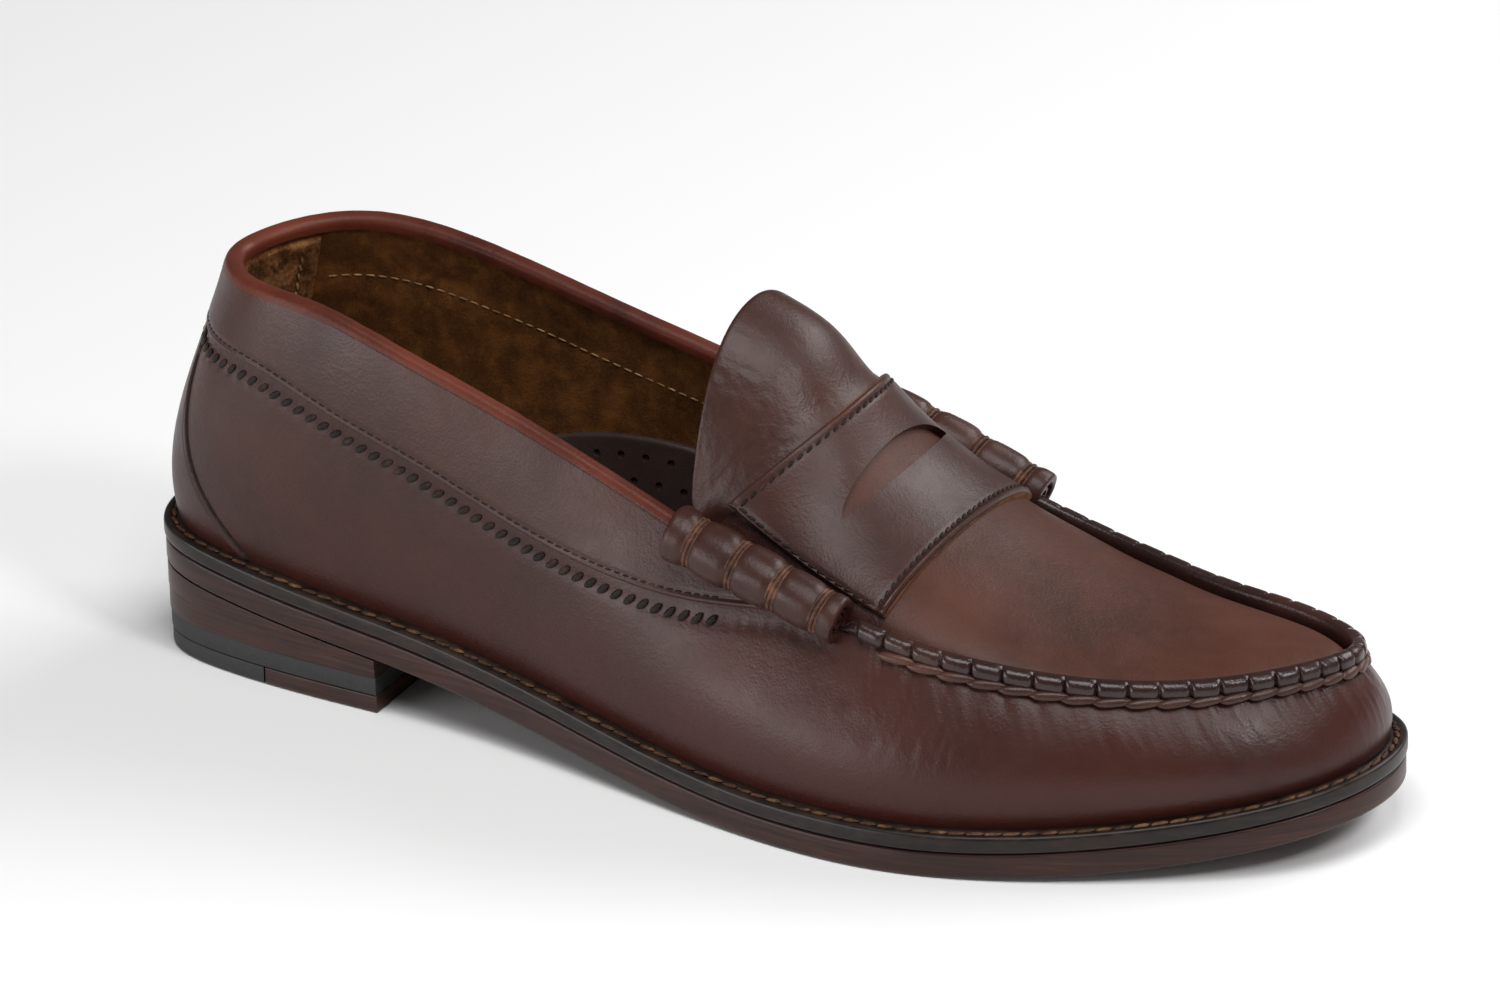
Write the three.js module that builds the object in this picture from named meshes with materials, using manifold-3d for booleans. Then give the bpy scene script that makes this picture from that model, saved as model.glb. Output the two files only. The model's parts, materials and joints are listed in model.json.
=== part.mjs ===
// Penny loafer with beef rolls, right shoe, as an assembly of separate pieces.
// Millimetres. +X to the toe, +Y to the inner (medial) side, +Z up. Origin: on the floor, under the centre.
import * as THREE from 'three';
import { mergeVertices } from 'three/addons/utils/BufferGeometryUtils.js';
import Module from 'manifold-3d';

const wasm = await Module();
wasm.setup();

// ---------------------------------------------------------------- driving dimensions

const GAP = 0.3;                 // clearance between touching pieces
const LEATHER = 1.8;             // upper leather
const LINING = 1.0;              // lining leather
const STIFFENER = 1.2;           // heel counter and toe puff
const WELT_LEDGE = 4.5;          // visible welt outside the upper
const OUTSOLE = 6.0;             // outsole thickness
const SOLE_STACK = 10.3;         // outsole and welt together
const INSOLE = 2.2;              // insole board
const SOCK = 1.0;                // sock liner
const HEEL_FRONT = 13.4;         // heel height at the breast
const HEEL_BACK = 21.4;          // heel height at the back
const HEEL_BREAST_X = -85;       // front face of the heel
const HEEL_END_X = -152;         // back of the heel
const WAIST_RUN = 115;           // from the breast to where the sole meets the floor
const BALL_X = 60;               // where the toe spring starts
const TOE_RUN = 92;              // and how far it runs
const TOE_SPRING = 10.4;         // how far the toe stands off the floor
const TOP_PIECE = 4.2;           // lowest heel layer
const HEEL_BAND = 4.0;           // rubber layer above it
const SEAM_RIDGE = 4.5;          // height of the raised moccasin seam
const RIDGE_WIDTH = 2.6;         // its thickness
const ROLL_RADIUS = 5.6;         // beef roll
const STRAP_FRONT_S = 0.3035;    // the saddle strap's edges, as places along the seam
const STRAP_REAR_S = 0.2504;
const CREST_END_S = 0.24;        // the instep's crest is drawn from the toe back to here
const COLLAR_END_S = 0.268;      // front end of the collar band
const BACK_STAY_S = 0.030;       // half width of the back stay at the collar
const STAY_WIDTH = [[0.0935], [0.072], [0.055], [0.041], [0.03], [0.03]];   // from welt to collar
const TONGUE_EDGE = 5.0;         // the tongue's sides stand this far inside the topline

// Control points of the welt's plan outline: heel back, outer side, toe, inner side.
const WELT_OUTLINE = [
  [-154, 7], [-150, -15], [-129, -22], [-104, -26], [-77, -28], [-43, -33], [2, -47], [49, -57],
  [82, -49], [108, -38], [129, -27], [147, -13], [155, 7], [150, 27], [133, 42], [110, 51],
  [84, 55], [49, 51], [4, 37], [-43, 31], [-77, 36], [-104, 39], [-128, 37], [-150, 29],
];

// Control points of the upper's rim: the topline round the heel, the moccasin seam round the toe.
const RIM = [
  [-139, 6, 94], [-129, -10, 95], [-117, -18.5, 96], [-99, -22, 96], [-78, -24, 89], [-53, -25, 81],
  [-21, -27, 69], [18, -32, 54], [51, -40, 46], [77, -36, 42], [98, -29.5, 39.5], [116, -21, 39],
  [131, -9.5, 39.5], [145, 5, 41], [141, 21.5, 38], [122, 29.5, 39], [102, 33, 38.8], [80, 37, 42],
  [54, 41, 46.5], [23, 38.5, 60], [-16, 33.5, 75], [-50, 32.5, 84], [-75, 33, 91], [-97, 33, 96],
  [-114, 30, 98], [-128, 21, 97],
];

// How far the upper's wall swells outwards, low and high on the wall, at twelve stations.
const FULLNESS = [
  [6, 6], [6, 6], [5, 6], [4, 7], [5, 9], [5, 8], [1, 4], [5, 8], [5, 8], [3, 6], [3, 4], [6, 5],
];

// Height of the collar band below the topline, at twelve stations.
const HALF_COLLAR = [14, 16.5, 16.5, 22.5, 21, 23.8, 16.3, -5, -2, -2, -2, -2, -2];
const COLLAR_HEIGHT = [...HALF_COLLAR, ...HALF_COLLAR.slice(1, -1).reverse()].map((h) => [h]);

// The crest over the instep, from the toe seam back to the strap's rear edge (x, z).
const CREST = [
  [141, 42], [132.6, 43.6], [118.1, 43], [100.2, 43.8], [80.2, 48.7], [58.8, 56.8], [36.2, 67.5],
  [19.2, 92.9],
];

// The tongue's crest from the strap back to its rounded top, and where its feet stand (place, drop).
const TONGUE_CREST = [[25.9, 83.1], [20.5, 87.9], [14, 99.3], [-2.3, 105.5]];
const TONGUE_FEET = [[0.2564, -1], [0.246, -2], [0.238, -2.5], [0.2265, -1]];
const TONGUE_LEAN = 0.8;         // its crest lies this far towards the inner side
const TONGUE_ROOT = 0.2;         // the flap starts here, just behind the strap

// The beef rolls' axes, on the outer and on the inner side.
const ROLL_AXIS = {
  lateral: [[-4, -33, 63], [18, -35.7, 57.5], [40, -38, 51]],
  medial: [[3, 38.5, 70], [27.5, 41.5, 60.8], [51.5, 42.6, 51]],
};

// ---------------------------------------------------------------- curves

// Weights of four neighbouring control points at a fraction f between the middle two.
function weights(f) {
  const g = 1 - f;
  const near = 3 * f ** 3 - 6 * f ** 2 + 4;
  const far = -3 * f ** 3 + 3 * f ** 2 + 3 * f + 1;
  return [g ** 3, near, far, f ** 3].map((w) => w / 6);
}

function blendPoints(points, shares) {
  return points[0].map((_, axis) => shares.reduce((sum, share, k) => sum + share * points[k][axis], 0));
}

// Smooth closed curve steered by control points; s runs once round from 0 to 1.
function onLoop(points, s) {
  const n = points.length;
  const t = (((s % 1) + 1) % 1) * n;
  const i = Math.floor(t);
  return blendPoints([-1, 0, 1, 2].map((k) => points[(i + k + n) % n]), weights(t - i));
}

// Smooth open curve from the first to the last point; f runs from 0 to 1.
function onPath(points, f) {
  const before = points[0].map((c, axis) => 2 * c - points[1][axis]);
  const last = points[points.length - 1];
  const after = last.map((c, axis) => 2 * c - points[points.length - 2][axis]);
  const all = [before, ...points, after];
  const spans = points.length - 1;
  const t = THREE.MathUtils.clamp(f, 0, 1) * spans;
  const i = Math.min(Math.floor(t), spans - 1);
  return blendPoints(all.slice(i, i + 4), weights(t - i));
}

// Even steps from one value to another.
function steps(from, to, count) {
  return Array.from({ length: count + 1 }, (_, i) => from + ((to - from) * i) / count);
}

// The marks of a common grid between two places, so that neighbours share their facets.
function marks(from, to, perUnit) {
  const first = Math.ceil(from * perUnit);
  const last = Math.floor(to * perUnit);
  const between = steps(first, last, last - first)
    .map((k) => k / perUnit)
    .filter((k) => k > from + 0.2 / perUnit && k < to - 0.2 / perUnit);
  return [from, ...between, to];
}

const point = (c) => new THREE.Vector3(c[0], c[1], c[2] ?? 0);
const ease = (from, to, x) => THREE.MathUtils.smoothstep(x, from, to);

// Rows from heel to toe, closer together at the round ends.
const roundSteps = (count) => steps(0, Math.PI, count).map((a) => 0.25 * (1 - Math.cos(a)));

// ---------------------------------------------------------------- the shoe's surfaces

// Height of the outsole's underside: pitched over the heel, down through the waist, up again at the toe.
function soleBottom(x) {
  const pitch = (HEEL_BACK - HEEL_FRONT) / (HEEL_BREAST_X - HEEL_END_X);
  if (x < HEEL_BREAST_X) return HEEL_FRONT + pitch * (HEEL_BREAST_X - x);
  const t = Math.min((x - HEEL_BREAST_X) / WAIST_RUN, 1);
  const waist = HEEL_FRONT * (1 - t) ** 2 * (1 + 2 * t) - pitch * WAIST_RUN * t * (1 - t) ** 2;
  const spring = x > BALL_X ? TOE_SPRING * ((x - BALL_X) / TOE_RUN) ** 2 : 0;
  return waist + spring;
}

const above = (lift) => (x) => soleBottom(x) + lift;
const level = (z) => () => z;

function outward(loop, s) {
  const a = point(onLoop(loop, s - 0.002));
  const b = point(onLoop(loop, s + 0.002));
  return new THREE.Vector3(b.y - a.y, a.x - b.x, 0).normalize();
}

function outline(s, inset) {
  return point(onLoop(WELT_OUTLINE, s)).addScaledVector(outward(WELT_OUTLINE, s), -inset);
}

// Cubic curve through four points.
function bezier(p, f) {
  const g = 1 - f;
  return new THREE.Vector3()
    .addScaledVector(p[0], g ** 3)
    .addScaledVector(p[1], 3 * g * g * f)
    .addScaledVector(p[2], 3 * g * f * f)
    .addScaledVector(p[3], f ** 3);
}

// The upper's outer wall: v is 0 at the welt and 1 at the rim.
function wallSkin(s, v) {
  const foot = outline(s, WELT_LEDGE);
  foot.z = soleBottom(foot.x) + SOLE_STACK + 1.5 * GAP;
  const rim = point(onLoop(RIM, s));
  const out = outward(WELT_OUTLINE, s);
  const [low, high] = onLoop(FULLNESS, s);
  const rise = (rim.z - foot.z) / 3;
  const lower = foot.clone().addScaledVector(out, low).setZ(foot.z + rise);
  const upper = rim.clone().addScaledVector(out, high).setZ(rim.z - rise);
  return bezier([foot, lower, upper, rim], v);
}

function wallNormal(s, v) {
  const along = wallSkin(s + 0.003, v).sub(wallSkin(s - 0.003, v));
  const low = Math.max(v - 0.02, 0);
  const up = wallSkin(s, low + 0.04).sub(wallSkin(s, low));
  return along.cross(up).normalize();
}

// The heel's upright lines spread out towards the welt, with the edges of the back stay.
function spread(s, v) {
  const off = s < 0.5 ? s : s - 1;
  const edge = onPath(STAY_WIDTH, Math.min(v / 0.8, 1))[0] - BACK_STAY_S;
  const near = Math.abs(off);
  if (near < BACK_STAY_S) return s + (off / BACK_STAY_S) * edge;
  return s + Math.sign(off) * edge * (1 - ease(BACK_STAY_S, 0.16, near));
}

// A point of the wall, this deep under the outer skin.
function wall(s, v, depth) {
  const place = spread(s, v);
  return wallSkin(place, v).addScaledVector(wallNormal(place, v), -depth);
}
const wallHeight = (s) => wallSkin(s, 1).distanceTo(wallSkin(s, 0));

// An arch from the outer foot over the crest to the inner foot; w runs across.
const INSTEP_SHOULDER = 0.085;
function arch(left, right, crest, shoulder, w, lean = 0) {
  const middle = left.clone().add(right).multiplyScalar(0.5);
  const top = new THREE.Vector3(crest[0], middle.y + lean, crest[1]);
  const lift = top.sub(middle).divideScalar(0.75);
  const across = right.clone().sub(left).multiplyScalar(shoulder);
  const p1 = left.clone().add(lift).add(across);
  const p2 = right.clone().add(lift).sub(across);
  return bezier([left, p1, p2, right], w);
}

// The top of the foot, from the toe seam to under the strap; s is a place along the seam.
function instepSkin(s, w) {
  const inset = RIDGE_WIDTH + GAP + 0.1;
  const left = point(onLoop(RIM, s)).addScaledVector(outward(RIM, s), -inset);
  const right = point(onLoop(RIM, 1 - s)).addScaledVector(outward(RIM, 1 - s), -inset);
  const crest = onPath(CREST, (0.5 - s) / (0.5 - CREST_END_S));
  return arch(left, right, crest, INSTEP_SHOULDER, w);
}

// The tongue behind the strap; q is 0 at the strap and 1 at the tongue's end.
function tongueSkin(q, w) {
  const [s, rise] = onPath(TONGUE_FEET, q);
  const left = point(onLoop(RIM, s)).addScaledVector(outward(RIM, s), -TONGUE_EDGE);
  const right = point(onLoop(RIM, 1 - s)).addScaledVector(outward(RIM, 1 - s), -TONGUE_EDGE);
  left.z += rise;
  right.z += rise;
  return arch(left, right, onPath(TONGUE_CREST, q), 0, w, TONGUE_LEAN);
}

// Normal of a top surface whose first parameter runs towards the toe.
function topNormal(skin, a, w, step) {
  const low = Math.min(Math.max(w - 0.01, 0), 0.98);
  const along = skin(a + step, w).sub(skin(a - step, w));
  const across = skin(a, low + 0.02).sub(skin(a, low));
  return along.cross(across).normalize();
}

const instep = (s, w, depth) =>
  instepSkin(s, w).addScaledVector(topNormal(instepSkin, s, w, Math.min(0.002, (0.5 - s) / 2)), -depth);
const tongueAt = (q, w, depth) =>
  tongueSkin(q, w).addScaledVector(topNormal(tongueSkin, q, w, -0.01), -depth);

// ---------------------------------------------------------------- solids

// A closed solid between two skins. Each section has an outer and an inner row of points.
function slab(sections, closed = false) {
  const width = sections[0].outer.length;
  const position = [];
  for (const { outer, inner } of sections) {
    for (const p of [...outer, ...inner]) position.push(p.x, p.y, p.z);
  }
  const at = (i, j, side) => (i % sections.length) * 2 * width + side * width + j;
  const index = [];
  const quad = (a, b, c, d) => index.push(a, b, c, a, c, d);
  const rows = closed ? sections.length : sections.length - 1;
  for (let i = 0; i < rows; i += 1) {
    for (let j = 0; j < width - 1; j += 1) {
      quad(at(i, j, 0), at(i + 1, j, 0), at(i + 1, j + 1, 0), at(i, j + 1, 0));
      quad(at(i, j, 1), at(i, j + 1, 1), at(i + 1, j + 1, 1), at(i + 1, j, 1));
    }
    quad(at(i, width - 1, 0), at(i + 1, width - 1, 0), at(i + 1, width - 1, 1), at(i, width - 1, 1));
    quad(at(i, 0, 1), at(i + 1, 0, 1), at(i + 1, 0, 0), at(i, 0, 0));
  }
  const end = sections.length - 1;
  for (let j = 0; !closed && j < width - 1; j += 1) {
    quad(at(0, j, 0), at(0, j + 1, 0), at(0, j + 1, 1), at(0, j, 1));
    quad(at(end, j, 1), at(end, j + 1, 1), at(end, j + 1, 0), at(end, j, 0));
  }
  return weld(position, index);
}

// Joins equal points and drops the triangles that this flattens.
function weld(position, index) {
  const rough = new THREE.BufferGeometry();
  rough.setAttribute('position', new THREE.Float32BufferAttribute(position, 3));
  rough.setIndex(index);
  const joined = mergeVertices(rough, 1e-3);
  const kept = [];
  for (let i = 0; i < joined.index.count; i += 3) {
    const [a, b, c] = [0, 1, 2].map((k) => joined.index.getX(i + k));
    if (a !== b && b !== c && a !== c) kept.push(a, b, c);
  }
  joined.setIndex(kept);
  return joined;
}

function toSolid(geometry) {
  const plain = geometry.clone();
  plain.deleteAttribute('normal');
  plain.deleteAttribute('uv');
  const joined = mergeVertices(plain, 1e-4);
  return new wasm.Manifold(new wasm.Mesh({
    numProp: 3,
    vertProperties: Float32Array.from(joined.attributes.position.array),
    triVerts: Uint32Array.from(joined.index.array),
  }));
}

function fromSolid(solid) {
  const mesh = solid.getMesh();
  const geometry = new THREE.BufferGeometry();
  geometry.setAttribute('position', new THREE.Float32BufferAttribute(mesh.vertProperties, 3));
  geometry.setIndex(Array.from(mesh.triVerts));
  return geometry;
}

function cut(geometry, ...tools) {
  return fromSolid(tools.reduce((left, tool) => left.subtract(toSolid(tool)), toSolid(geometry)));
}

const merge = (a, b) => fromSolid(toSolid(a).add(toSolid(b)));

// A flat piece over the sole's plan, between two heights that follow x.
function plate(rows, inset, bottom, top) {
  const across = steps(0, 1, 2);
  return slab(rows.map((s) => {
    const a = outline(s, inset);
    const b = outline(1 - s, inset);
    const line = across.map((w) => a.clone().lerp(b, w));
    return {
      outer: line.map((p) => p.clone().setZ(top(p.x))),
      inner: line.map((p) => p.clone().setZ(bottom(p.x))),
    };
  }));
}

// A strip that runs right round the sole's plan.
function hoop(rows, outerInset, innerInset, bottom, top) {
  const round = [...rows, ...rows.slice(1, -1).reverse().map((s) => 1 - s)];
  return slab(round.map((s) => {
    const stand = (inset) => [bottom, top].map((height) => {
      const p = outline(s, inset);
      return p.setZ(height(p.x));
    });
    return { outer: stand(outerInset), inner: stand(innerInset) };
  }), true);
}

// A piece of the upper's wall between two depths.
function shell(places, heights, outerDepth, innerDepth) {
  return slab(places.map((s) => ({
    outer: heights(s).map((v) => wall(s, v, outerDepth(s, v))),
    inner: heights(s).map((v) => wall(s, v, innerDepth(s, v))),
  })));
}

// A round cord or thread through points.
function thread(points, radius, sides, count, closed = false) {
  const section = new THREE.Shape();
  for (let k = 0; k < sides; k += 1) {
    const a = (2 * Math.PI * k) / sides;
    if (k === 0) section.moveTo(radius, 0);
    else section.lineTo(radius * Math.cos(a), radius * Math.sin(a));
  }
  const path = new THREE.CatmullRomCurve3(points, closed);
  return new THREE.ExtrudeGeometry(section, { steps: count, extrudePath: path, bevelEnabled: false });
}

// ---------------------------------------------------------------- the pieces

const ROUND = 80;                // grid of the wall round the shoe
const CLIMB = 6;                 // grid of the wall from welt to rim
const ACROSS_TOP = [0, 0.08, 0.14, 0.25, 0.375, 0.5, 0.625, 0.75, 0.86, 0.92, 1];
const colours = {
  upper: 0x3c231e, edge: 0x7a4634, suede: 0x5a3414, sock: 0x3a2c28, thread: 0x2a1814, tan: 0xa07848,
  welt: 0x2a2422, sole: 0x4a2620, rubber: 0x1c1b1a, cork: 0xb08858, board: 0xa88860, steel: 0x8a8c90,
};
const loafer = new THREE.Group();

function add(name, geometry, colour, roughness = 0.5, metalness = 0) {
  geometry.computeVertexNormals();
  const material = new THREE.MeshStandardMaterial({ color: colours[colour], roughness, metalness });
  const mesh = new THREE.Mesh(geometry, material);
  mesh.name = name;
  loafer.add(mesh);
}

const bandBottom = (s) => 1 - onLoop(COLLAR_HEIGHT, s)[0] / wallHeight(s);
const fromHeel = (s) => Math.min(((s % 1) + 1) % 1, 1 - (((s % 1) + 1) % 1));
const stiffened = (s) => 1 - ease(0.13, 0.17, fromHeel(s)) + ease(0.38, 0.42, fromHeel(s));
const liningDepth = (s, v) => LEATHER + GAP + (STIFFENER + GAP) * stiffened(s) * (1 - ease(0.72, 0.86, v));

// Beef roll: a leather roll drawn in at four ties.
const ROLL_TIES = [0.14, 0.39, 0.64, 0.885];
function rollRadius(f) {
  const waist = Math.max(...ROLL_TIES.map((tie) => Math.exp(-(((f - tie) / 0.04) ** 2))));
  const ends = 1 - 0.16 * ease(0.86, 1, f) - 0.12 * (1 - ease(0, 0.1, f));
  return ROLL_RADIUS * ends * (1 - 0.12 * waist);
}

// A point on or off the roll; the angle is 0 outwards and a quarter turn upwards.
function rollPoint(side, f, angle, extra) {
  const axis = ROLL_AXIS[side];
  const out = new THREE.Vector3(0, side === 'lateral' ? -1 : 1, 0);
  const along = point(axis[axis.length - 1]).sub(point(axis[0])).normalize();
  const up = new THREE.Vector3(-along.z, 0, along.x).normalize();
  const reach = rollRadius(f) + extra;
  return point(onPath(axis, f))
    .addScaledVector(out, reach * Math.cos(angle))
    .addScaledVector(up, reach * Math.sin(angle));
}

function rollBody(side, extra, from, to) {
  const sides = 10;
  const turn = side === 'lateral' ? -1 : 1;
  const places = steps(0, 1, 20).map((f) => from + (to - from) * f);
  return ringSolid(places.map((f) => steps(0, 2 * Math.PI, sides).slice(0, sides)
    .map((a) => rollPoint(side, f, turn * a, extra))));
}

// A solid skinned over rings of points, closed at both ends.
function ringSolid(rings) {
  const sides = rings[0].length;
  const position = rings.flat().flatMap((p) => [p.x, p.y, p.z]);
  const index = [];
  const tri = (a, b, c) => index.push(a, b, c);
  for (let i = 0; i < rings.length - 1; i += 1) {
    for (let k = 0; k < sides; k += 1) {
      const next = (k + 1) % sides;
      tri(i * sides + k, i * sides + next, (i + 1) * sides + next);
      tri(i * sides + k, (i + 1) * sides + next, (i + 1) * sides + k);
    }
  }
  const last = (rings.length - 1) * sides;
  for (let k = 1; k < sides - 1; k += 1) {
    tri(0, k + 1, k);
    tri(last, last + k, last + k + 1);
  }
  return weld(position, index);
}

// ---------------------------------------------------------------- the bottom

const soleRows = roundSteps(28);
const BREAST_ROW = 0.1535;       // place of the heel's front face round the outline
const heelRows = steps(0, Math.PI / 2, 9).map((a) => BREAST_ROW * (1 - Math.cos(a)));
const WELT_WIDTH = 13;
const RIB_WIDTH = 2.4;
const SHANK = 1.2;               // thickness of the shank
const INNER_EDGE = 10.2;         // the insole's edge, measured in from the sole's edge
const insoleFloor = SOLE_STACK + GAP;
const sockFloor = insoleFloor + INSOLE + GAP;

add('outsole', plate(soleRows, 0.4, above(0), above(OUTSOLE)), 'sole', 0.45);
add('welt', hoop(soleRows, 0, WELT_WIDTH, above(OUTSOLE + GAP), above(SOLE_STACK)), 'welt', 0.5);
const ribEdge = WELT_WIDTH + GAP;
const rib = hoop(soleRows, ribEdge, ribEdge + RIB_WIDTH, above(OUTSOLE + GAP), above(SOLE_STACK));
add('insole_rib', rib, 'board', 0.9);
const fillerEdge = ribEdge + RIB_WIDTH + GAP;
const fillerTop = above(SOLE_STACK - SHANK - GAP);
add('cork_filler', plate(soleRows, fillerEdge, above(OUTSOLE + GAP), fillerTop), 'cork', 0.95);
const insole = plate(soleRows, INNER_EDGE, above(insoleFloor), above(insoleFloor + INSOLE));
add('insole', insole, 'board', 0.8);
const sock = plate(soleRows, INNER_EDGE, above(sockFloor), above(sockFloor + SOCK));

// The steel shank bridges the waist, between the filler and the insole.
const SHANK_RUN = [-112, 12];
const SHANK_SIDES = [-4, 8];
add('shank', slab(steps(...SHANK_RUN, 10).map((x) => {
  const z = soleBottom(x) + SOLE_STACK;
  return {
    outer: SHANK_SIDES.map((y) => new THREE.Vector3(x, y, z)),
    inner: SHANK_SIDES.map((y) => new THREE.Vector3(x, y, z - SHANK)),
  };
})), 'steel', 0.35, 0.9);

// The heel: two leather wedges, a rubber band, and a top piece of leather in front and rubber behind.
const stackFloor = TOP_PIECE + HEEL_BAND + 2 * GAP;
const wedge = (share, lift) => (x) => stackFloor + share * (soleBottom(x) - GAP - stackFloor) + lift;
add('heel_lift_upper', plate(heelRows, 0.8, wedge(0.5, GAP / 2), wedge(1, 0)), 'sole', 0.5);
add('heel_lift_lower', plate(heelRows, 1.0, wedge(0, 0), wedge(0.5, -GAP / 2)), 'sole', 0.5);
const bandFloor = TOP_PIECE + GAP;
add('heel_band', plate(heelRows, 1.2, level(bandFloor), level(bandFloor + HEEL_BAND)), 'rubber', 0.7);
const SPLIT_ROW = 0.1035;        // where the top piece changes from rubber to leather
const frontRows = steps(SPLIT_ROW + 0.0012, BREAST_ROW, 3);
const backRows = steps(0, Math.PI / 2, 7).map((a) => SPLIT_ROW * (1 - Math.cos(a)));
add('top_piece_leather', plate(frontRows, 1.4, level(0), level(TOP_PIECE)), 'sole', 0.5);
add('top_piece_rubber', plate(backRows, 1.4, level(0), level(TOP_PIECE)), 'rubber', 0.75);

// ---------------------------------------------------------------- the upper

const flat = (depth) => () => depth;

// Heights up the wall on the common grid; marks beyond the top are squeezed under it.
const climbTo = (top) => steps(0, 1, CLIMB).map((k) => Math.min(k, top - 0.002 * (1 - k)));
const rearPlaces = (half) => marks(-half, half, ROUND);

// Vamp: the wall below the collar, and round the toe up to the raised seam.
const ridgeStart = 0.3;
const underRoll = (s) => ease(0.236, 0.25, fromHeel(s)) * (1 - ease(0.302, ridgeStart, fromHeel(s)));
const vampTop = (s) => Math.min(bandBottom(s), 1 - 0.07 * underRoll(s)) - 0.016;
const vampPlaces = marks(BACK_STAY_S + 0.001, 1 - BACK_STAY_S - 0.001, ROUND);
function vampSection(s) {
  const heights = climbTo(vampTop(s));
  const raised = ease(ridgeStart, ridgeStart + 0.012, fromHeel(s));
  const outer = heights.map((v) => wall(s, v, 0));
  const inner = heights.map((v) => wall(s, v, LEATHER));
  const inwards = outward(RIM, s).multiplyScalar(-RIDGE_WIDTH);
  const edge = outer[CLIMB];
  inner[CLIMB].lerp(edge.clone().add(inwards).setZ(edge.z - LEATHER), raised);
  const lift = new THREE.Vector3(0, 0, 0.4 + (SEAM_RIDGE - 0.4) * raised);
  const top = edge.clone().add(lift);
  const back = inner[CLIMB].clone().sub(edge).multiplyScalar(1 - raised).addScaledVector(inwards, raised);
  return { outer: [...outer, top], inner: [...inner, top.clone().add(back)] };
}
const vamp = slab(vampPlaces.map(vampSection));

const collarPlaces = rearPlaces(COLLAR_END_S);
const collarHeights = (s) => steps(bandBottom(s), 0.985, 3);
const collar = shell(collarPlaces, collarHeights, flat(-0.4), flat(LEATHER));

const TOP_ROUND = 100;           // grid of the top of the foot
const plugPlaces = marks(STRAP_REAR_S + 0.003, 0.492, TOP_ROUND);
function topSlab(places, across, at, outerDepth, innerDepth) {
  return slab(places.map((a) => ({
    outer: across.map((w) => at(a, w, outerDepth)),
    inner: across.map((w) => at(a, w, innerDepth)),
  })));
}
const plug = topSlab(plugPlaces, ACROSS_TOP, instep, 0, LEATHER);

// Saddle strap, with its half-moon slot: straight in front, arched behind.
const strapPlaces = marks(STRAP_REAR_S, STRAP_FRONT_S, TOP_ROUND);
const strap = topSlab(strapPlaces, ACROSS_TOP.slice(1, -1), instep, -LEATHER - GAP, -GAP);
const SLOT_HALF_WIDTH = 23.5;
const SLOT_DEPTH = 6.7;
const SLOT_FRONT_S = 0.2748;
function slotCutter() {
  const middle = instep(SLOT_FRONT_S, 0.5, 0);
  const up = topNormal(instepSkin, SLOT_FRONT_S, 0.5, 0.002);
  const shape = new THREE.Shape();
  shape.moveTo(-SLOT_HALF_WIDTH, 0);
  shape.quadraticCurveTo(0, 2 * SLOT_DEPTH, SLOT_HALF_WIDTH, 0);
  shape.closePath();
  const cutter = new THREE.ExtrudeGeometry(shape, { depth: 28, bevelEnabled: false, curveSegments: 10 });
  const across = new THREE.Vector3(0, 1, 0);
  const back = up.clone().cross(across).normalize();
  cutter.translate(0, 0, -14);
  cutter.applyMatrix4(new THREE.Matrix4().makeBasis(across, back, up).setPosition(middle));
  return cutter;
}

const clearance = {
  lateral: rollBody('lateral', GAP, -0.01, 1.01),
  medial: rollBody('medial', GAP, -0.01, 1.01),
};
const rolls = [clearance.lateral, clearance.medial];
add('vamp', cut(vamp, ...rolls), 'upper', 0.35);
add('collar_band', cut(collar, ...rolls), 'upper', 0.35);
add('plug', cut(plug, ...rolls), 'upper', 0.35);
add('saddle_strap', cut(strap, slotCutter(), ...rolls), 'upper', 0.35);

// Back stay over the heel seam, below the collar band.
const stayHeights = (s) => climbTo(bandBottom(s) - 0.006);
const stay = shell(rearPlaces(BACK_STAY_S), stayHeights, flat(-0.3), flat(LEATHER));
add('back_stay', stay, 'upper', 0.35);

// Rolled topline binding, over the edges of collar and lining.
const onTangent = (s) => wallSkin(s + 0.002, 0.99).sub(wallSkin(s - 0.002, 0.99)).normalize();
const bindingPlaces = rearPlaces(0.246);
add('topline_binding', slab(bindingPlaces.map((s) => {
  const reach = liningDepth(s, 1) + LINING;
  const up = wallNormal(s, 0.99).cross(onTangent(s)).normalize();
  const at = (depth, lift) => wall(s, 0.99, depth).addScaledVector(up, lift);
  return {
    outer: [at(-0.4, 0.3), at(-0.4, 1.6), at(0.3 * reach, 2.5)],
    inner: [at(reach, 0.3), at(reach, 1.6), at(0.7 * reach, 2.5)],
  };
})), 'edge', 0.45);

for (const side of ['lateral', 'medial']) {
  add(`beef_roll_${side}`, rollBody(side, 0, 0, 1), 'upper', 0.35);
  ROLL_TIES.forEach((tie, k) => {
    const arc = steps(-0.25, 1.75, 6).map((a) => rollPoint(side, tie, a, 0.5 + GAP));
    add(`roll_tie_${side}_${k + 1}`, thread(arc, 0.5, 4, 8), 'thread', 0.7);
  });
}

// ---------------------------------------------------------------- linings and stiffeners

const under = LEATHER + GAP;
const stiffHeights = () => marks(1 / CLIMB, 4 / CLIMB, CLIMB);
const stiffener = (places) => shell(places, stiffHeights, flat(under), flat(under + STIFFENER));
add('heel_counter', stiffener(rearPlaces(0.13)), 'board', 0.9);
add('toe_puff', stiffener(marks(0.42, 0.58, ROUND)), 'board', 0.9);

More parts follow.
